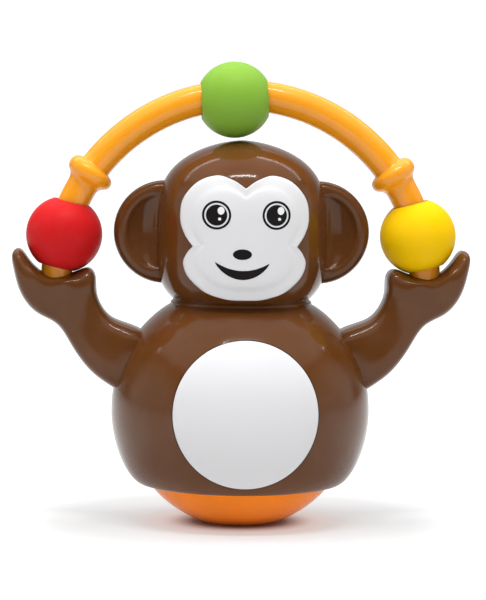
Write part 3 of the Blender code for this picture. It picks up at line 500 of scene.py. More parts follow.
def select_points(piece, chosen):
    """In edit mode, select the points whose numbers are chosen, and nothing else."""
    bpy.ops.mesh.select_all(action="DESELECT")
    form = bmesh.from_edit_mesh(piece.data)
    form.verts.ensure_lookup_table()
    for number in chosen:
        form.verts[number].select_set(True)
    form.select_flush_mode()
    bmesh.update_edit_mesh(piece.data)


def selected_points(piece):
    """Numbers and places of the points selected in edit mode."""
    form = bmesh.from_edit_mesh(piece.data)
    form.verts.index_update()
    return {point.index: point.co.copy() for point in form.verts if point.select}


def move_point(piece, number, step):
    """In edit mode, move one point."""
    select_points(piece, [number])
    bpy.ops.transform.translate(value=step)


def scale_about(centre, share):
    """In edit mode, scale what is selected about a centre."""
    bpy.ops.transform.resize(value=(share, share, share), center_override=centre)


def draw_line(name, points, closed=True):
    """New piece, left in edit mode: a line extruded from point to point."""
    bpy.ops.mesh.primitive_plane_add(size=GAP)
    piece = added(name)
    edit_all(piece)
    bpy.ops.mesh.select_mode(type="VERT")
    bpy.ops.mesh.merge(type="CENTER")
    bpy.ops.transform.translate(value=points[0])
    for before, after in zip(points, points[1:]):
        step = Vector(after) - Vector(before)
        bpy.ops.mesh.extrude_region_move(TRANSFORM_OT_translate={"value": step})
    if closed:
        select_points(piece, (0, len(points) - 1))
        bpy.ops.mesh.edge_face_add()
    return piece


def turn_line(angle, steps, centre, axis):
    """In edit mode, spin all that is drawn about an axis; a positive angle is right-handed."""
    bpy.ops.mesh.select_all(action="SELECT")
    bpy.ops.mesh.spin(steps=steps, angle=-angle, center=centre, axis=axis)


def close_form():
    """Merge doubles, close the open ends, point the faces outwards and leave edit mode."""
    bpy.ops.mesh.select_all(action="SELECT")
    bpy.ops.mesh.remove_doubles(threshold=MERGE)
    bpy.ops.mesh.fill_holes(sides=0)
    bpy.ops.mesh.select_all(action="SELECT")
    bpy.ops.mesh.normals_make_consistent(inside=False)
    leave_edit()


def turned(name, profile, angle=math.tau, closed=True):
    """Piece turned about Z from a profile of (radius, height)."""
    piece = draw_line(name, [(radius, 0.0, height) for radius, height in profile], closed)
    steps = round(HALF_TURN_STEPS * abs(angle) / math.pi)
    turn_line(angle, steps, (0.0, 0.0, 0.0), (0.0, 0.0, 1.0))
    close_form()
    return piece


def envelope(name, points, distance):
    """Closed solid inside a side curve that is moved outwards by a distance."""
    moved = offset_curve(points, distance)
    profile = [(0.0, moved[0][1])] + [point for point in moved if point[0] > GAP] + [(0.0, moved[-1][1])]
    return turned(name, profile, closed=False)


def reshape(piece, kind, **values):
    """Apply one modifier with its settings."""
    step = piece.modifiers.new(kind.title(), kind)
    for key, value in values.items():
        setattr(step, key, value)
    select_only(piece)
    bpy.ops.object.modifier_apply(modifier=step.name)


def carve(piece, cutter, operation="DIFFERENCE"):
    """Apply an exact Boolean and remove its cutter."""
    reshape(piece, "BOOLEAN", operation=operation, solver="EXACT", object=cutter)
    bpy.data.objects.remove(cutter)


def join(pieces):
    """Join several meshes into the first."""
    select_only(pieces[0])
    for piece in pieces:
        piece.select_set(True)
    bpy.ops.object.join()
    return pieces[0]


def copy_of(piece, name, move):
    """Copy with its own mesh, moved by a matrix that is applied to it."""
    select_only(piece)
    bpy.ops.object.duplicate(linked=False)
    made = bpy.context.active_object
    made.matrix_world = move @ made.matrix_world
    return added(name)


def outward(piece):
    """Point a piece's faces outwards."""
    edit_all(piece)
    bpy.ops.mesh.normals_make_consistent(inside=False)
    leave_edit()


def finish_piece(piece, material, body, slot, *nodes):
    """Shade a piece, give it its material and tie it to the frame."""
    select_only(piece)
    bpy.ops.object.transform_apply()
    bpy.ops.object.shade_smooth_by_angle(angle=SMOOTH_ANGLE)
    piece.data.materials.clear()
    piece.data.materials.append(bpy.data.materials[material])
    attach(piece, body)
    if nodes:
        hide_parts(*nodes)


def finish_pair(right, name, body, node):
    """Mirror a brown piece from the right to the left, and finish both."""
    left = copy_of(right, "left_" + name, Matrix.Scale(-1.0, 4, (1.0, 0.0, 0.0)))
    outward(left)
    for piece, side in ((right, "right_"), (left, "left_")):
        finish_piece(piece, "brown_gloss_moulding", body, "brown_gloss", side + node)


# Materials


def add_node(tree, kind, inputs=(), **values):
    """Node with its own settings, and with numbers or other nodes' outputs on its inputs."""
    made = tree.nodes.new(kind)
    for key, value in values.items():
        setattr(made, key, value)
    for key, value in dict(inputs).items():
        if isinstance(value, bpy.types.NodeSocket):
            tree.links.new(value, made.inputs[key])
        else:
            made.inputs[key].default_value = value
    return made


def add_noise(tree, scale, detail):
    """Noise over the piece's own coordinates."""
    place = add_node(tree, "ShaderNodeTexCoord").outputs["Object"]
    inputs = {"Vector": place, "Scale": scale, "Detail": detail}
    return add_node(tree, "ShaderNodeTexNoise", inputs).outputs["Fac"]


def add_math(tree, operation, first, second=0.0):
    """Math node on two sockets or numbers."""
    return add_node(tree, "ShaderNodeMath", {0: first, 1: second}, operation=operation).outputs[0]


def add_range(tree, value, start, end, interpolation="LINEAR"):
    """Map a socket from one range to another."""
    inputs = {"Value": value, "From Min": start[0], "From Max": start[1], "To Min": end[0], "To Max": end[1]}
    return add_node(tree, "ShaderNodeMapRange", inputs, interpolation_type=interpolation).outputs["Result"]


def start_group(name, inputs, outputs):
    """New node group: its tree, what comes in (a colour where it has no default) and what goes out."""
    tree = bpy.data.node_groups.new(name, "ShaderNodeTree")
    for key, default in inputs.items():
        kind = "NodeSocketColor" if default is None else "NodeSocketFloat"
        socket = tree.interface.new_socket(key, in_out="INPUT", socket_type=kind)
        if default is not None:
            socket.default_value = default
    for key, kind in outputs.items():
        tree.interface.new_socket(key, in_out="OUTPUT", socket_type="NodeSocket" + kind)
    return tree, add_node(tree, "NodeGroupInput").outputs, add_node(tree, "NodeGroupOutput").inputs


def use_group(tree, name, inputs=()):
    """Outputs of a node group that is placed in a material with its own values."""
    return add_node(tree, "ShaderNodeGroup", inputs, node_tree=bpy.data.node_groups[name]).outputs


def pigment_group():
    """Colour that varies a little through the moulding, paler where hands rub it."""
    inputs = {"Colour": None, "Variation": 0.06, "Rub": 0.04}
    tree, ways_in, way_out = start_group("Pigment", inputs, {"Colour": "Color"})
    low = add_math(tree, "SUBTRACT", 1.0, ways_in["Variation"])
    high = add_math(tree, "ADD", 1.0, ways_in["Variation"])
    cloud = add_range(tree, add_noise(tree, scale=34.0, detail=3.0), NOISE_MIDDLE, (low, high))
    speck = add_range(tree, add_noise(tree, scale=2600.0, detail=1.0), NOISE_MIDDLE, (low, high))
    grey = add_math(tree, "MULTIPLY", cloud, add_math(tree, "POWER", speck, 0.5))
    tint = add_node(tree, "ShaderNodeMix", data_type="RGBA", blend_type="MULTIPLY",
                    inputs={0: 1.0, 6: ways_in["Colour"], 7: grey})
    mask = add_math(tree, "POWER", add_noise(tree, scale=90.0, detail=4.0), 3.0)
    rub = add_math(tree, "MULTIPLY", mask, ways_in["Rub"])
    rubbed = add_node(tree, "ShaderNodeMix", data_type="RGBA", blend_type="SCREEN",
                      inputs={0: rub, 6: tint.outputs[2], 7: (1.0, 1.0, 1.0, 1.0)})
    tree.links.new(rubbed.outputs[2], way_out["Colour"])


def handling_group():
    """Roughness with faint smudges and hairline scuffs from handling."""
    inputs = {"Roughness": 0.3, "Smudge": 0.06}
    tree, ways_in, way_out = start_group("Handling", inputs, {"Roughness": "Float"})
    place = add_node(tree, "ShaderNodeTexCoord").outputs["Object"]
    stretch = add_node(tree, "ShaderNodeMapping", {"Vector": place, "Rotation": (0.5, 0.3, 0.9),
                                                   "Scale": (3200.0, 120.0, 900.0)})
    hairs = add_node(tree, "ShaderNodeTexNoise", {"Vector": stretch.outputs["Vector"], "Scale": 1.0})
    cloud = add_range(tree, add_noise(tree, scale=120.0, detail=5.0), NOISE_MIDDLE, (-1.0, 1.0))
    smudge = add_math(tree, "MULTIPLY", cloud, ways_in["Smudge"])
    scuff = add_math(tree, "MULTIPLY", add_math(tree, "POWER", hairs.outputs["Fac"], 6.0), ways_in["Smudge"])
    total = add_math(tree, "ADD", ways_in["Roughness"], add_math(tree, "ADD", smudge, scuff))
    tree.links.new(total, way_out["Roughness"])


def skin_group():
    """Height of a moulded skin: slight waviness under a fine peel or grain."""
    inputs = {"Peel scale": 700.0, "Peel share": 0.5}
    tree, ways_in, way_out = start_group("Moulded skin", inputs, {"Height": "Float"})
    grain = add_noise(tree, scale=ways_in["Peel scale"], detail=2.0)
    peel = add_math(tree, "MULTIPLY", grain, ways_in["Peel share"])
    waves = add_noise(tree, scale=55.0, detail=1.0)
    tree.links.new(add_math(tree, "ADD", peel, waves), way_out["Height"])


def glow_and_painted_shadow_group():
    """Shares of the floor's glow, which paints the toy's shadow, by the distance from the toy: how much
    shows and how much it lights.
    """
    tree, _, way_out = start_group("Floor glow and painted shadow", {}, {"Shown": "Color", "Lit": "Float"})
    place = add_node(tree, "ShaderNodeTexCoord").outputs["Object"]
    reach = add_node(tree, "ShaderNodeVectorMath", {0: place}, operation="LENGTH").outputs["Value"]
    # The ramp's low stops at the foot and its dip paint the toy's shadow on the floor
    ramp = add_node(tree, "ShaderNodeValToRGB", {"Fac": add_math(tree, "DIVIDE", reach, GLOW_WITH_PAINTED_SHADOW[-1][0])})
    ramp.color_ramp.interpolation = "CARDINAL"
    stops = ramp.color_ramp.elements
    for distance, _ in GLOW_WITH_PAINTED_SHADOW[1:-1]:
        stops.new(distance / GLOW_WITH_PAINTED_SHADOW[-1][0])
    for stop, (_, share) in zip(stops, GLOW_WITH_PAINTED_SHADOW):
        stop.color = (*(share * tone for tone in GLOW_TONE), 1.0)
    tree.links.new(ramp.outputs["Color"], way_out["Shown"])
    tree.links.new(add_range(tree, reach, GLOW_LIGHTS_TO, (1.0, 0.0), "SMOOTHSTEP"), way_out["Lit"])


def moulded(name, colour_value, skin, roughness, smudge=0.05, variation=0.05, rub=0.03, specular=0.5,
            metallic=0.0):
    """Moulded or cast finish made of the three shared groups."""
    made = bpy.data.materials.new(name)
    made.use_nodes = True
    tree = made.node_tree
    shader = tree.nodes["Principled BSDF"].inputs
    for key, value in (("Metallic", metallic), ("IOR", 1.5), ("Specular IOR Level", specular)):
        shader[key].default_value = value
    tint = (*colour_value, 1.0)
    pigment = use_group(tree, "Pigment", {"Colour": tint, "Variation": variation, "Rub": rub})
    handling = use_group(tree, "Handling", {"Roughness": roughness, "Smudge": smudge})
    peel_scale, bump = SKINS[skin]
    height = use_group(tree, "Moulded skin", {"Peel scale": peel_scale})["Height"]
    peel = {"Strength": bump, "Distance": PEEL_DEPTH, "Height": height}
    lift = add_node(tree, "ShaderNodeBump", peel)
    tree.links.new(pigment["Colour"], shader["Base Color"])
    tree.links.new(handling["Roughness"], shader["Roughness"])
    tree.links.new(lift.outputs["Normal"], shader["Normal"])
    return made


class MakeFinishes(bpy.types.Operator):
    """Make the finishes of the mouldings, inks and metal parts."""
    bl_idname = "wobble_toy.make_finishes"
    bl_label = "Finishes"

    def execute(self, context):
        tones = context.scene.toy_colour
        pigment_group()
        handling_group()
        skin_group()
        moulded("brown_gloss_moulding", tones.brown, "gloss", roughness=0.12, smudge=0.02, specular=0.28)
        moulded("orange_gloss_moulding", tones.orange, "gloss", roughness=0.16, smudge=0.03, specular=0.45)
        # The dome's finish is the arch's orange, deeper and redder as painted shade
        moulded("dome_gloss_moulding", tones.shaded_orange, "gloss", roughness=0.20, smudge=0.03,
                specular=0.14)
        for word, specular in (("red", 0.08), ("green", 0.12), ("yellow", 0.03)):
            moulded(word + "_satin_moulding", getattr(tones, word), "satin", roughness=0.42,
                    specular=specular)
        moulded("white_satin_moulding", tones.white, "panel", roughness=0.38, smudge=0.015,
                variation=0.004, rub=0.0, specular=0.22)
        moulded("black_print_ink", tones.ink, "ink", roughness=0.45, rub=0.01, specular=0.06)
        moulded("white_print_ink", (0.85, 0.85, 0.85), "ink", roughness=0.30, variation=0.01, rub=0.0)
        moulded("cast_iron_skin", (0.08, 0.08, 0.085), "cast", roughness=0.62, variation=0.2, metallic=1.0)
        moulded("zinc_screw_skin", (0.62, 0.62, 0.64), "zinc", roughness=0.34, variation=0.1, metallic=1.0)
        moulded("nylon_skin", (0.75, 0.73, 0.68), "nylon", roughness=0.45)
        return {"FINISHED"}


# Dome and shells


def dome_arc(radius, low, high):
    """Points (radius, height) up a sphere about the dome's centre."""
    sizes = bpy.context.scene.toy_body
    centre = math.sqrt(sizes.dome_radius ** 2 - sizes.foot_radius ** 2)
    start = math.acos(min(1.0, (centre - low) / radius))
    end = math.acos((centre - high) / radius)
    return [(radius * math.sin(angle), centre - radius * math.cos(angle))
            for angle in spread(start, end, CURVE_STEPS)]


class MakeDome(bpy.types.Operator):
    """Turn the orange dome that the toy rolls on."""
    bl_idname = "wobble_toy.make_dome"
    bl_label = "Base dome"

    def execute(self, context):
        sizes = context.scene.toy_body
        low_lip = sizes.rim_height + sizes.wall + GAP
        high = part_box("base_dome")[1]
        profile = [(0.0, 0.0)] + dome_arc(sizes.dome_radius, 0.0, low_lip)
        profile += [(high.x, low_lip), (high.x, high.z)]
        profile += reversed(dome_arc(sizes.dome_radius - sizes.dome_wall, sizes.dome_wall, high.z))
        profile += [(0.0, sizes.dome_wall)]
        dome = turned("dome_shell", profile, closed=False)
        finish_piece(dome, "dome_gloss_moulding", "body", "orange_gloss", "base_dome")
        return {"FINISHED"}


def rod_between(name, half_sizes, place, depths, sides=BORE_SIDES):
    """Round or oval bar along Y between two depths, at an x and z."""
    x, z = place
    near, far = depths
    bpy.ops.mesh.primitive_cylinder_add(vertices=sides, radius=1.0, depth=abs(far - near),
                                        location=(x, (near + far) / 2.0, z), rotation=UPRIGHT)
    bpy.context.active_object.scale = (*half_sizes, 1.0)
    return added(name)


def screw_places(prefix):
    """Screw names of a shell and their places on its back, from the CAD nodes."""
    places = {}
    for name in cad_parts:
        if name.startswith(prefix):
            low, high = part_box(name)
            places[name] = ((low.x + high.x) / 2.0, (low.z + high.z) / 2.0)
    return places


def bore_for_screws(shell, prefix, curve):
    """Give a rear shell a boss and a deep hole for each of its screws."""
    sizes = bpy.context.scene.toy_screw
    wide = sizes.boss_radius
    bore = sizes.head_radius + GAP
    root = sizes.seat - bpy.context.scene.toy_body.wall
    places = screw_places(prefix).values()
    bosses = [rod_between("boss", (wide, wide), place, (root, BEYOND)) for place in places]
    holes = [rod_between("hole", (bore, bore), place, (sizes.seat, BEYOND)) for place in places]
    boss = join(bosses)
    carve(boss, envelope("shell_room", curve, -GAP), "INTERSECT")
    carve(shell, boss, "UNION")
    carve(shell, join(holes))


def make_shells(body, profile, curve, opening):
    """Turn a shell's two halves, open the front for its panel and bore the rear for its screws."""
    halves = {}
    for end, side in (("front", -1.0), ("rear", 1.0)):
        half = turned(f"{body}_{end}", profile, side * math.pi)
        half.location.y = side * PARTING / 2.0
        select_only(half)
        bpy.ops.object.transform_apply()
        halves[end] = half
    carve(halves["front"], opening)
    bore_for_screws(halves["rear"], body + "_screw", curve)
    for end, half in halves.items():
        finish_piece(half, "brown_gloss_moulding", body, "brown_gloss", f"{body}_{end}_shell")


class MakeBodyShells(bpy.types.Operator):
    """Make the body's two halves."""
    bl_idname = "wobble_toy.make_body_shells"
    bl_label = "Body shells"

    def execute(self, context):
        sizes = context.scene.toy_body
        outer = body_curve()
        lip_top = sizes.rim_height + sizes.wall
        ceiling = sizes.top_height - sizes.wall
        inner = [point for point in offset_curve(outer, -sizes.wall) if lip_top < point[1] < ceiling]
        way = dome_arc(sizes.dome_radius + GAP, sizes.rim_height, lip_top)
        profile = [(sizes.neck_bore, sizes.top_height)] + outer + [way[0], way[-1]]
        profile += [(inner[-1][0], lip_top)] + inner[::-1]
        profile += [(inner[0][0], ceiling), (sizes.neck_bore, ceiling)]
        half_sizes = (sizes.belly_half_width + GAP, sizes.belly_half_height + GAP)
        opening = rod_between("belly_opening", half_sizes, (0.0, sizes.belly_height),
                              (-BEYOND, -sizes.wall), 2 * HALF_TURN_STEPS)
        make_shells("body", profile, outer, opening)
        return {"FINISHED"}


# Panels and prints laid on a curved front


def set_rise(weight):
    """Note how much of the panel's rise the selected points get."""
    bpy.context.scene.tool_settings.vertex_group_weight = weight
    bpy.ops.object.vertex_group_assign()


def start_rise(piece):
    """Add the group that holds the points' shares of the rise, and select all of the piece in edit mode."""
    leave_edit()
    piece.vertex_groups.new(name="rise")
    edit_all(piece)


def ring_inwards(centre, border, rings):
    """In edit mode, carry the selected outline to its middle through a border and even rings."""
    set_rise(0.0)
    before = 1.0
    for share, weight in list(border) + [(share, 1.0) for share in rings]:
        bpy.ops.mesh.extrude_region_move()
        scale_about(centre, share / before)
        set_rise(weight)
        before = share
    bpy.ops.mesh.merge(type="CENTER")
    leave_edit()


def lay_on(piece, skin, rise, thickness):
    """Press a flat sheet back onto a curved skin, raise it and give it its thickness."""
    outward(piece)
    if sum(face.normal.y * face.area for face in piece.data.polygons) > 0.0:
        edit_all(piece)
        bpy.ops.mesh.flip_normals()
        leave_edit()
    reshape(piece, "SHRINKWRAP", wrap_method="PROJECT", use_project_y=True, use_positive_direction=True,
            target=skin)
    reshape(piece, "DISPLACE", direction="Y", mid_level=0.0, strength=-rise, vertex_group="rise")
    reshape(piece, "SOLIDIFY", thickness=thickness, offset=-1.0)
    piece.vertex_groups.clear()


def lay_panel(piece, curve, rise, body, node):
    """Lay a white panel on the front of a turned form."""
    skin = envelope("panel_skin", curve, 0.0)
    lay_on(piece, skin, rise, bpy.context.scene.toy_body.wall)
    bpy.data.objects.remove(skin)
    finish_piece(piece, "white_satin_moulding", body, "white_satin", node)


def draw_disc(name, x, z, half_width, half_height, points=HALF_TURN_STEPS):
    """Flat oval line in front of the toy, left selected in edit mode."""
    bpy.ops.mesh.primitive_circle_add(vertices=points, radius=1.0, fill_type="NOTHING",
                                      location=(x, -BEYOND, z), rotation=UPRIGHT)
    bpy.context.active_object.scale = (half_width, half_height, 1.0)
    disc = added(name)
    start_rise(disc)
    return disc


class MakeBelly(bpy.types.Operator):
    """Lay the white belly disc into the body's front."""
    bl_idname = "wobble_toy.make_belly"
    bl_label = "Belly disc"

    def execute(self, context):
        sizes = context.scene.toy_body
        height = sizes.belly_height
        disc = draw_disc("belly_panel", 0.0, height, sizes.belly_half_width, sizes.belly_half_height,
                         2 * HALF_TURN_STEPS)
        ring_inwards((0.0, -BEYOND, height), BELLY_BORDER, spread(*BELLY_RINGS))
        lay_panel(disc, body_curve(), sizes.belly_proud, "body", "belly_disc")
        return {"FINISHED"}


# Head, face and ears


def face_line(name, grow):
    """Face outline as a line of edges in front of the head, grown by a margin, left in edit mode."""
    sizes = bpy.context.scene.toy_head
    half = [(x * sizes.face_half_width, sizes.face_height + z * sizes.face_half_height)
            for x, z in FACE_OUTLINE]
    whole = half + [(-x, z) for x, z in reversed(half[1:-1])]
    corners = set(FACE_NOTCHES) | {len(whole) - i for i in FACE_NOTCHES}
    curve = bpy.data.curves.new(name, "CURVE")
    curve.dimensions = "2D"
    curve.fill_mode = "NONE"
    curve.offset = grow
    curve.resolution_u = 10
    spline = curve.splines.new("BEZIER")
    spline.bezier_points.add(len(whole) - 1)
    for i, (knot, (x, z)) in enumerate(zip(spline.bezier_points, whole)):
        knot.co = (x, z, 0.0)
        knot.handle_left_type = "VECTOR" if i in corners else "AUTO"
        knot.handle_right_type = knot.handle_left_type
    spline.use_cyclic_u = True
    line = bpy.data.objects.new(name, curve)
    bpy.context.scene.collection.objects.link(line)
    line.matrix_world = Matrix.Translation((0.0, -BEYOND, 0.0)) @ Matrix.Rotation(math.pi / 2.0, 4, "X")
    select_only(line)
    bpy.ops.object.convert(target="MESH")
    line = added(name)
    edit_all(line)
    bpy.ops.mesh.remove_doubles(threshold=MERGE)
    return line


class MakeHeadShells(bpy.types.Operator):
    """Make the head's two halves, with the lip at the neck."""
    bl_idname = "wobble_toy.make_head_shells"
    bl_label = "Head shells"

    def execute(self, context):
        sizes = context.scene.toy_head
        wall = context.scene.toy_body.wall
        neck = context.scene.toy_body.neck_bore
        outer = head_curve()
        floor = sizes.floor_height
        ceiling = floor + wall
        inner = [point for point in offset_curve(outer, -wall) if point[1] > ceiling and point[0] > GAP]
        lip = floor - sizes.bead
        bead = [(sizes.floor_radius + sizes.bead * out, lip + sizes.bead * up) for out, up in NECK_LIP]
        side = [point for point in outer if point[1] > bead[0][1] + sizes.bead / 2.0]
        skirt = bead[-1][0]
        rest = min(height for radius, height in body_curve()[:CURVE_STEPS] if radius <= skirt)
        bead += [(skirt, rest + SEAM), (sizes.floor_radius - GAP, lip)]
        bead += [(sizes.floor_radius - wall, lip), (sizes.floor_radius - wall, floor)]
        profile = [(0.0, sizes.top_height)] + [point for point in side if point[0] > GAP] + bead
        profile += [(neck, floor), (neck, ceiling), (inner[-1][0], ceiling)]
        profile += inner[::-1] + [(0.0, inner[0][1])]
        opening = face_line("face_opening", GAP)
        bpy.ops.mesh.select_all(action="SELECT")
        bpy.ops.mesh.edge_face_add()
        bpy.ops.mesh.extrude_region_move(TRANSFORM_OT_translate={"value": (0.0, BEYOND - wall, 0.0)})
        close_form()
        make_shells("head", profile, outer, opening)
        return {"FINISHED"}


class MakeFace(bpy.types.Operator):
    """Lay the white face with its raised border into the head's front."""
    bl_idname = "wobble_toy.make_face"
    bl_label = "Face plate"

    def execute(self, context):
        sizes = context.scene.toy_head
        face = face_line("face_panel", 0.0)
        start_rise(face)
        ring_inwards((0.0, -BEYOND, sizes.face_height), FACE_BORDER, spread(*FACE_RINGS))
        lay_panel(face, face_curve(), sizes.face_proud, "head", "face_plate")
        return {"FINISHED"}


def print_oval(name, x, z, half_width, half_height, shares, hollow=False):
    """Flat printed oval, or a ring where it is hollow, before it is laid on the face."""
    oval = draw_disc(name, x, z, half_width, half_height)
    set_rise(1.0)
    for before, after in zip(shares, shares[1:]):
        bpy.ops.mesh.extrude_region_move()
        scale_about((x, -BEYOND, z), after / before)
    if not hollow:
        bpy.ops.mesh.merge(type="CENTER")
    leave_edit()
    return oval


def lay_print(piece, level, material):
    """Lay a printed film on the face at a level of films."""
    film = bpy.context.scene.toy_print.film
    lay_on(piece, bpy.data.objects["face_panel"], level * film, film * FILM_SOLID)
    finish_piece(piece, material, "head", "white_satin")


class MakeFacePrint(bpy.types.Operator):
    """Print the eyes, nose and smile on the face."""
    bl_idname = "wobble_toy.make_face_print"
    bl_label = "Face print"

    def execute(self, context):
        sizes = context.scene.toy_print
        z = sizes.eye_height
        inner = sizes.ring_inside / sizes.eye_radius
        for word, side in (("left", -1.0), ("right", 1.0)):
            x = sizes.eye_shift + side * sizes.eye_reach
            ring = print_oval(word + "_eye_print", x, z, sizes.eye_radius, sizes.eye_radius,
                              spread(1.0, inner, EYE_RING_STEPS), hollow=True)
            pupil = print_oval("pupil", x, z, sizes.pupil_radius, sizes.pupil_radius,
                               spread(*OVAL_RINGS))
            lay_print(join([ring, pupil]), 1.0, "black_print_ink")
            glints = [print_oval(word + "_eye_glint", x + out, z + up, wide, high,
                                 spread(1.0, GLINT_MIDDLE, steps))
                      for out, up, wide, high, steps in GLINTS]
            lay_print(join(glints), 2.0, "white_print_ink")
        nose = print_oval("nose_print", -sizes.mouth_shift, sizes.nose_height, sizes.nose_half_width,
                          sizes.nose_half_height, spread(*OVAL_RINGS))
        lay_print(nose, 1.0, "black_print_ink")
        lay_print(self.smile(sizes), 1.0, "black_print_ink")
        return {"FINISHED"}

    def smile(self, sizes):
        """Crescent drawn along its upper edge and pulled down to its lower edge."""
        upper = []
        falls = []
        for angle in spread(-SMILE_SWEEP, SMILE_SWEEP, SMILE_STEPS):
            share = math.sin(angle)
            sag = 1.0 - share ** 2
            high = sizes.smile_corner - (sizes.smile_corner - sizes.smile_upper) * sag
            low = sizes.smile_corner - (sizes.smile_corner - sizes.smile_lower) * sag ** SMILE_FULLNESS
            slant = share * sizes.smile_slant
            upper.append((sizes.smile_half_width * share - sizes.mouth_shift, -BEYOND, high - slant))
            falls.append(low - high - sizes.smile_tip * bulge(abs(share), SMILE_TIP))
        smile = draw_line("smile_print", upper, closed=False)
        start_rise(smile)
        set_rise(1.0)
        bpy.ops.mesh.extrude_region_move()
        for number, place in selected_points(smile).items():
            nearest = min(range(len(upper)), key=lambda i: abs(upper[i][0] - place.x))
            move_point(smile, number, (0.0, 0.0, falls[nearest]))
        bpy.ops.mesh.select_all(action="SELECT")
        bpy.ops.mesh.subdivide(number_cuts=SMILE_CUTS)
        leave_edit()
        return smile


class MakeEars(bpy.types.Operator):
    """Turn a dished ear with a rolled rim, fit it to the head and mirror it."""
    bl_idname = "wobble_toy.make_ears"
    bl_label = "Ears"

    def execute(self, context):
        sizes = context.scene.toy_head
        half = sizes.ear_thickness / 2.0
        radius = sizes.ear_radius
        rim = sizes.ear_rim
        rolled = [(radius - rim * (0.5 - 0.5 * math.sin(angle)), -half * math.cos(angle))
                  for angle in spread(EAR_ROLL, math.pi, EAR_RIM_STEPS)]
        edge, level = rolled[0]
        depth = sizes.ear_dish - half - level
        profile = [(edge * share, level + depth * (1.0 - share ** EAR_BOWL))
                   for share in spread(0.0, 1.0, EAR_BOWL_STEPS)]
        profile += rolled[1:] + [(radius * EAR_BACK, half), (0.0, half)]
        points = [(sizes.ear_reach + r, y, sizes.ear_height) for r, y in profile]
        ear = draw_line("right_ear_dish", points, closed=False)
        turn_line(math.tau, HALF_TURN_STEPS, (sizes.ear_reach, 0.0, sizes.ear_height), (0.0, 1.0, 0.0))
        close_form()
        self.blend_bowl(ear, radius - rim / 2.0)
        carve(ear, envelope("head_room", head_curve(), -SUNK))
        finish_pair(ear, "ear_dish", "head", "ear")
        return {"FINISHED"}

    def blend_bowl(self, ear, crest):
        """Sweep the bowl, inside the crest of its rim, up to the head."""
        sizes = bpy.context.scene.toy_head
        group = ear.vertex_groups.new(name="near_head")
        for point in ear.data.vertices:
            x, y, z = point.co
            away = math.hypot(x - sizes.ear_reach, z - sizes.ear_height) / crest
            gap = max(0.0, math.hypot(x, y) - head_radius(z)) / sizes.ear_blend
            if away < 1.0 and gap < 1.0 and y < sizes.ear_thickness * EAR_SWEEP_BACK:
                share = (1.0 - gap) ** EAR_FADE[0] * (1.0 - away ** EAR_FADE[1])
                group.add([point.index], share, "REPLACE")
        reshape(ear, "DISPLACE", direction="Y", mid_level=0.0, strength=-sizes.ear_blend * EAR_SWEEP,
                vertex_group=group.name)


# Arch and balls


def arch_matrix(angle):
    """Turn about the arch's centre, from its top towards +X."""
    centre = Matrix.Translation((0.0, 0.0, bpy.context.scene.toy_arch.centre_height))
    return centre @ Matrix.Rotation(angle, 4, "Y") @ centre.inverted()


def start_rod(name, radius, angle):
    """Ring of a rod on the arch at an angle, left selected in edit mode."""
    sizes = bpy.context.scene.toy_arch
    bpy.ops.mesh.primitive_circle_add(vertices=ROD_SIDES, radius=radius, fill_type="NOTHING",
                                      location=(0.0, 0.0, sizes.centre_height + sizes.radius),
                                      rotation=(0.0, math.pi / 2.0, 0.0))
    rod = bpy.context.active_object
    rod.matrix_world = arch_matrix(angle) @ rod.matrix_world
    edit_all(added(name))
    return rod


def run_rod(start, end, steps):
    """Spin the selected ring along the arch; the last ring stays selected."""
    centre = (0.0, 0.0, bpy.context.scene.toy_arch.centre_height)
    bpy.ops.mesh.spin(steps=steps, angle=start - end, center=centre, axis=(0.0, 1.0, 0.0))


class MakeArch(bpy.types.Operator):
    """Bend the rod from palm to palm and swell it into its two stop rings."""
    bl_idname = "wobble_toy.make_arch"
    bl_label = "Arch rod"

    def execute(self, context):
        sizes = context.scene.toy_arch
        end = math.pi / 2.0 + sizes.plug_depth / sizes.radius
        unit = sizes.stop_width / 2.0 / sizes.radius
        swell = sizes.stop_radius / sizes.rod_radius - 1.0
        lower = [(-sizes.stop_angle - along * unit, 1.0 + swell * share) for along, share in STOP_FORM]
        upper = [(-angle, size) for angle, size in reversed(lower)]
        rod = start_rod("arch_bar", sizes.rod_radius, -end)
        run_rod(-end, lower[0][0], ROD_END_STEPS)
        self.swell(sizes, lower)
        run_rod(lower[-1][0], upper[0][0], ROD_TOP_STEPS)
        self.swell(sizes, upper)
        run_rod(upper[-1][0], end, ROD_END_STEPS)
        close_form()
        finish_piece(rod, "orange_gloss_moulding", "body", "orange_gloss", "arch_rod")
        return {"FINISHED"}

    def swell(self, sizes, stations):
        """Step the rod through stations of (angle, share of its radius)."""
        for (before, old), (after, new) in zip(stations, stations[1:]):
            run_rod(before, after, 1)
            middle = arch_matrix(after) @ Vector((0.0, 0.0, sizes.centre_height + sizes.radius))
            scale_about(middle, new / old)


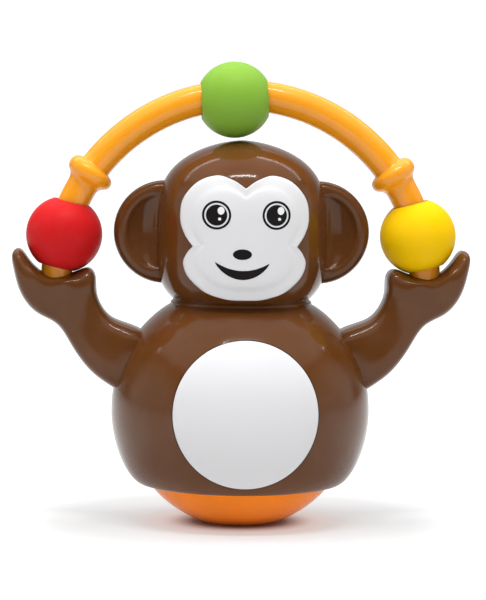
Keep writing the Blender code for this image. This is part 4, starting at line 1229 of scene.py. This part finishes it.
class MakeBalls(bpy.types.Operator):
    """Turn a bored half ball and copy it to both halves of the three balls."""
    bl_idname = "wobble_toy.make_balls"
    bl_label = "Balls"

    def execute(self, context):
        sizes = context.scene.toy_arch
        top = sizes.centre_height + sizes.radius
        half = draw_line("half_ball", [(along, 0.0, top + across) for along, across in self.profile(sizes)])
        turn_line(math.pi, HALF_TURN_STEPS, (0.0, 0.0, top), (1.0, 0.0, 0.0))
        close_form()
        side = 1.0 if sum(point.co.y for point in half.data.vertices) > 0.0 else -1.0
        places = {"red": (-sizes.side_angle, sizes.side_drop), "green": (sizes.top_angle, sizes.hang_drop),
                  "yellow": (sizes.side_angle, sizes.side_drop)}
        for word, (angle, drop) in places.items():
            for end, way in (("front", -1.0), ("back", 1.0)):
                flip = Matrix.Scale(side * way, 4, (0.0, 1.0, 0.0))
                move = Matrix.Translation((0.0, way * GAP / 2.0, -drop))
                made = copy_of(half, f"{word}_{end}_half", arch_matrix(angle) @ move @ flip)
                outward(made)
                finish_piece(made, word + "_satin_moulding", word + "_ball", word + "_matte",
                             f"{word}_ball_{end}")
        bpy.data.objects.remove(half)
        return {"FINISHED"}

    def profile(self, sizes):
        """Points (along the bore, away from it) round a hollow ball's wall."""
        radius = sizes.ball_radius
        lip = sizes.ball_lip
        bore = sizes.ball_bore
        outer = math.asin((bore + lip) / radius)
        inner_radius = radius - sizes.ball_wall
        inner = math.asin((bore + sizes.ball_flare) / inner_radius)
        mouth = [(radius * math.cos(outer) + out * lip, bore + up * lip) for out, up in BALL_MOUTH]
        line = mouth[::-1]
        line += [(radius * math.cos(angle), radius * math.sin(angle))
                 for angle in spread(outer, math.pi - outer, BALL_STEPS)]
        line += [(-along, across) for along, across in mouth]
        line += [(inner_radius * math.cos(angle), inner_radius * math.sin(angle))
                 for angle in spread(math.pi - inner, inner, BALL_INSIDE_STEPS)]
        return line


# Arms


def arm_points():
    """Points of the right arm's side view, each with its half depth."""
    arm = bpy.context.scene.toy_arm
    arch = bpy.context.scene.toy_arch
    roots = {
        "shoulder_span": Vector((body_radius(arm.shoulder_height), 0.0, arm.shoulder_height)),
        "hand_span": Vector((arch.radius, 0.0, arch.centre_height)),
    }
    points = {}
    for span, depth, places in ARM_FORM:
        for key, (x, z) in places.items():
            points[key] = (roots[span] + getattr(arm, span) * Vector((x, 0.0, z)), getattr(arm, depth))
    return points


def point_at(piece, place):
    """Number of the point at a place."""
    form = bmesh.from_edit_mesh(piece.data)
    return min(form.verts, key=lambda point: (point.co - place).length).index


class MakeArms(bpy.types.Operator):
    """Model an arm with a cupped hand, fit it to the body and the rod, and mirror it."""
    bl_idname = "wobble_toy.make_arms"
    bl_label = "Arms"

    def execute(self, context):
        points = arm_points()
        rows = [[points[key][0] for key in row] for pair in ARM_ROWS for row in pair]
        arm = draw_line("right_arm_limb", rows[0], closed=False)
        for old_row, new_row in zip(rows[::2], rows[1::2]):
            self.extrude_row(arm, old_row, new_row)
        self.thicken(arm, points)
        self.shape_palm(arm, points, context.scene.toy_arm.palm_fall)
        leave_edit()
        reshape(arm, "MIRROR", use_axis=(False, True, False), merge_threshold=MERGE)
        reshape(arm, "SUBSURF", levels=ARM_SOFTNESS, render_levels=ARM_SOFTNESS)
        outward(arm)
        carve(arm, envelope("body_room", body_curve(), -SUNK))
        sizes = context.scene.toy_arch
        start = math.pi / 2.0 - SOCKET_RISE
        socket = start_rod("palm_socket", sizes.rod_radius + GAP, start)
        run_rod(start, math.pi / 2.0 + (sizes.plug_depth + GAP) / sizes.radius, SOCKET_STEPS)
        close_form()
        carve(arm, socket)
        finish_pair(arm, "arm_limb", "body", "arm")
        return {"FINISHED"}

    def extrude_row(self, arm, old_row, new_row):
        """Extrude one row of points to the next."""
        select_points(arm, [point_at(arm, place) for place in old_row])
        bpy.ops.mesh.extrude_region_move()
        for number, place in selected_points(arm).items():
            nearest = min(range(len(old_row)), key=lambda i: (old_row[i] - place).length)
            move_point(arm, number, new_row[nearest] - old_row[nearest])

    def thicken(self, arm, points):
        """Pull the side view forwards by each point's half depth and open it at Y = 0."""
        bpy.ops.mesh.select_all(action="SELECT")
        bpy.ops.mesh.extrude_region_move()
        for number, place in selected_points(arm).items():
            key = min(points, key=lambda name: (points[name][0] - place).length)
            move_point(arm, number, (0.0, -points[key][1], 0.0))
        bpy.ops.mesh.select_mode(type="FACE")
        bpy.ops.mesh.select_all(action="DESELECT")
        form = bmesh.from_edit_mesh(arm.data)
        for face in form.faces:
            face.select_set(all(abs(point.co.y) < MERGE for point in face.verts))
        bmesh.update_edit_mesh(arm.data)
        bpy.ops.mesh.delete(type="FACE")
        bpy.ops.mesh.select_mode(type="VERT")

    def shape_palm(self, arm, points, fall):
        """Lower and crease the palm's edge, and swell its middle round the rod."""
        edge = [point_at(arm, points[key][0] - Vector((0.0, points[key][1], 0.0))) for key in PALM_FALLS]
        for number, share in zip(edge, PALM_FALLS.values()):
            move_point(arm, number, (0.0, 0.0, -share * fall))
        for key, share in PALM_SWELLS.items():
            move_point(arm, point_at(arm, points[key][0]), (0.0, 0.0, share * fall))
        select_points(arm, edge)
        bpy.ops.transform.edge_crease(value=PALM_CREASE)


# Screws and hidden parts


class MakeScrews(bpy.types.Operator):
    """Model a cross-recessed pan-head screw and copy it to every boss on the back."""
    bl_idname = "wobble_toy.make_screws"
    bl_label = "Screws"

    def execute(self, context):
        sizes = context.scene.toy_screw
        screw = self.pattern(sizes)
        upright = Matrix.Rotation(-math.pi / 2.0, 4, "X")
        for body in ("body", "head"):
            for i, (name, (x, z)) in enumerate(sorted(screw_places(body + "_screw").items())):
                place = Matrix.Translation((x, sizes.seat + GAP, z)) @ upright
                made = copy_of(screw, name + "_cross", place @ Matrix.Rotation(SCREW_TURN * i, 4, "Z"))
                finish_piece(made, "zinc_screw_skin", body, "screw_steel", name)
        bpy.data.objects.remove(screw)
        return {"FINISHED"}

    def pattern(self, sizes):
        """Turned screw with its cross cut into the head."""
        radius = sizes.head_radius
        height = sizes.head_height
        shank = sizes.shank_radius
        crown = [(radius * math.cos(angle) ** PAN_ROUNDING,
                  height * (PAN_EDGE + (1.0 - PAN_EDGE) * math.sin(angle)))
                 for angle in spread(0.0, math.pi / 2.0, CROWN_STEPS)]
        tip = -sizes.shank_length
        profile = [(0.0, tip), (shank, tip + shank), (shank, 0.0), (radius, 0.0)]
        screw = draw_line("screw_pattern", [(r, 0.0, z) for r, z in profile + crown], closed=False)
        turn_line(math.tau, SCREW_SIDES, (0.0, 0.0, 0.0), (0.0, 0.0, 1.0))
        close_form()
        for angle in (0.0, math.pi / 2.0):
            bpy.ops.mesh.primitive_cube_add(size=1.0, location=(0.0, 0.0, height),
                                            rotation=(0.0, 0.0, angle))
            bpy.context.active_object.scale = (radius * CROSS[0], radius * CROSS[1], height * CROSS[2])
            slot = added("cross_slot")
            edit_all(slot)
            bpy.ops.mesh.bevel(offset=radius * CROSS_ROUNDING, segments=2, affect="EDGES")
            leave_edit()
            carve(screw, slot)
        return screw


class FinishInnerParts(bpy.types.Operator):
    """Give the CAD parts that stay, hidden inside the toy, their finishes."""
    bl_idname = "wobble_toy.finish_inner_parts"
    bl_label = "Inner parts"

    def execute(self, context):
        skins = {"ballast_weight": "cast_iron_skin", "neck_bobbin": "nylon_skin"}
        for name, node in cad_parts.items():
            if name.startswith("ballast_screw"):
                skins[name] = "zinc_screw_skin"
            if name in skins:
                node.data.materials.clear()
                node.data.materials.append(bpy.data.materials[skins[name]])
        return {"FINISHED"}


# Stage


def add_light(name, place, target, size, power, reflected):
    """Rectangular light aimed at a target, seen in reflections or not."""
    bpy.ops.object.light_add(type="AREA", location=place)
    light = bpy.context.active_object
    light.name = name
    light.data.shape = "RECTANGLE"
    light.data.size, light.data.size_y = size
    light.data.energy = power
    light.visible_glossy = reflected
    light.rotation_euler = (Vector(target) - Vector(place)).to_track_quat("-Z", "Y").to_euler()


class MakeStage(bpy.types.Operator):
    """Lay the pale floor, hang the lights and set the camera."""
    bl_idname = "wobble_toy.make_stage"
    bl_label = "Stage"

    def execute(self, context):
        bpy.ops.mesh.primitive_plane_add(size=FLOOR_SIZE, location=(0.0, 0.0, -SEAM))
        floor = added("pale_floor")
        floor.data.materials.append(self.floor_paper())
        self.light_world(context.scene)
        for name, values in LIGHTS.items():
            add_light(name, *values)
        bpy.ops.object.camera_add(location=CAMERA_PLACE)
        camera = bpy.context.active_object
        camera.name = "photo_camera"
        camera.data.lens = CAMERA_LENS
        camera.data.clip_end = CAMERA_REACH
        level = (Vector(CAMERA_AIM) - camera.location).to_track_quat("-Z", "Y").to_matrix()
        camera.rotation_euler = (level @ Matrix.Rotation(CAMERA_ROLL, 3, "Z")).to_euler()
        context.scene.camera = camera
        context.scene.view_settings.view_transform = "Standard"
        return {"FINISHED"}

    def floor_paper(self):
        """Pale paper that glows for the camera, less in reflections, with the toy's shadow painted into its
        glow, and lights only what is near.
        """
        paper = moulded("pale_floor_paper", (0.60, 0.60, 0.60), "paper", roughness=0.65, variation=0.004,
                        rub=0.0, specular=0.2)
        tree = paper.node_tree
        shader = tree.nodes["Principled BSDF"].inputs
        # The glow paints the floor's shadow round the toy, and near the foot it lights the dome as a glowing
        # ring
        shader["Emission Strength"].default_value = GLOW_STRENGTH
        glow_and_painted_shadow_group()
        glow = use_group(tree, "Floor glow and painted shadow")
        rays = add_node(tree, "ShaderNodeLightPath").outputs
        mirrored = add_math(tree, "MULTIPLY", rays["Is Glossy Ray"], GLOW_MIRRORED)
        seen = add_math(tree, "MAXIMUM", rays["Is Camera Ray"], mirrored)
        share = add_math(tree, "MAXIMUM", seen, glow["Lit"])
        light = add_node(tree, "ShaderNodeVectorMath", {0: glow["Shown"]}, operation="SCALE")
        tree.links.new(share, light.inputs["Scale"])
        tree.links.new(light.outputs["Vector"], shader["Emission Color"])
        return paper

    def light_world(self, scene):
        """Surroundings that are white to the camera, and as light are bright above, beside and behind."""
        scene.world = bpy.data.worlds.new("studio")
        scene.world.use_nodes = True
        tree = scene.world.node_tree
        back = tree.nodes["Background"].inputs
        back["Color"].default_value = (1.0, 1.0, 1.0, 1.0)
        place = add_node(tree, "ShaderNodeTexCoord").outputs["Generated"]
        split = add_node(tree, "ShaderNodeSeparateXYZ", {"Vector": place}).outputs
        parts = {"X": add_math(tree, "ABSOLUTE", split["X"]), "Y": split["Y"], "Z": split["Z"]}
        level = add_node(tree, "ShaderNodeLightPath").outputs["Is Camera Ray"]
        for axis, (start, end) in SURROUNDINGS.items():
            lit = add_range(tree, parts[axis], start, end, "SMOOTHSTEP")
            level = add_math(tree, "MAXIMUM", level, lit)
        tree.links.new(level, back["Strength"])


MAKERS = (
    MakeFinishes,
    MakeDome,
    MakeBodyShells,
    MakeBelly,
    MakeHeadShells,
    MakeFace,
    MakeFacePrint,
    MakeEars,
    MakeArch,
    MakeBalls,
    MakeArms,
    MakeScrews,
    FinishInnerParts,
    MakeStage,
)


class ToyPanel(bpy.types.Panel):
    """Lists the toy's pieces in the order that they are made."""
    bl_idname = "VIEW3D_PT_wobble_toy"
    bl_label = "Monkey wobble toy"
    bl_space_type = "VIEW_3D"
    bl_region_type = "UI"
    bl_category = "Toy"

    def draw(self, context):
        for maker in MAKERS:
            self.layout.operator(maker.bl_idname)


def register():
    """Register the sizes, the makers and the panel."""
    for key, kind in SIZE_GROUPS.items():
        bpy.utils.register_class(kind)
        setattr(bpy.types.Scene, key, bpy.props.PointerProperty(type=kind))
    for kind in MAKERS + (ToyPanel,):
        bpy.utils.register_class(kind)


def unregister():
    """Take back what register added."""
    for kind in reversed(MAKERS + (ToyPanel,)):
        bpy.utils.unregister_class(kind)
    for key, kind in SIZE_GROUPS.items():
        delattr(bpy.types.Scene, key)
        bpy.utils.unregister_class(kind)


def main():
    """Build every piece in order."""
    register()
    for maker in MAKERS:
        group, name = maker.bl_idname.split(".")
        getattr(getattr(bpy.ops, group), name)()


if __name__ == "__main__":
    main()
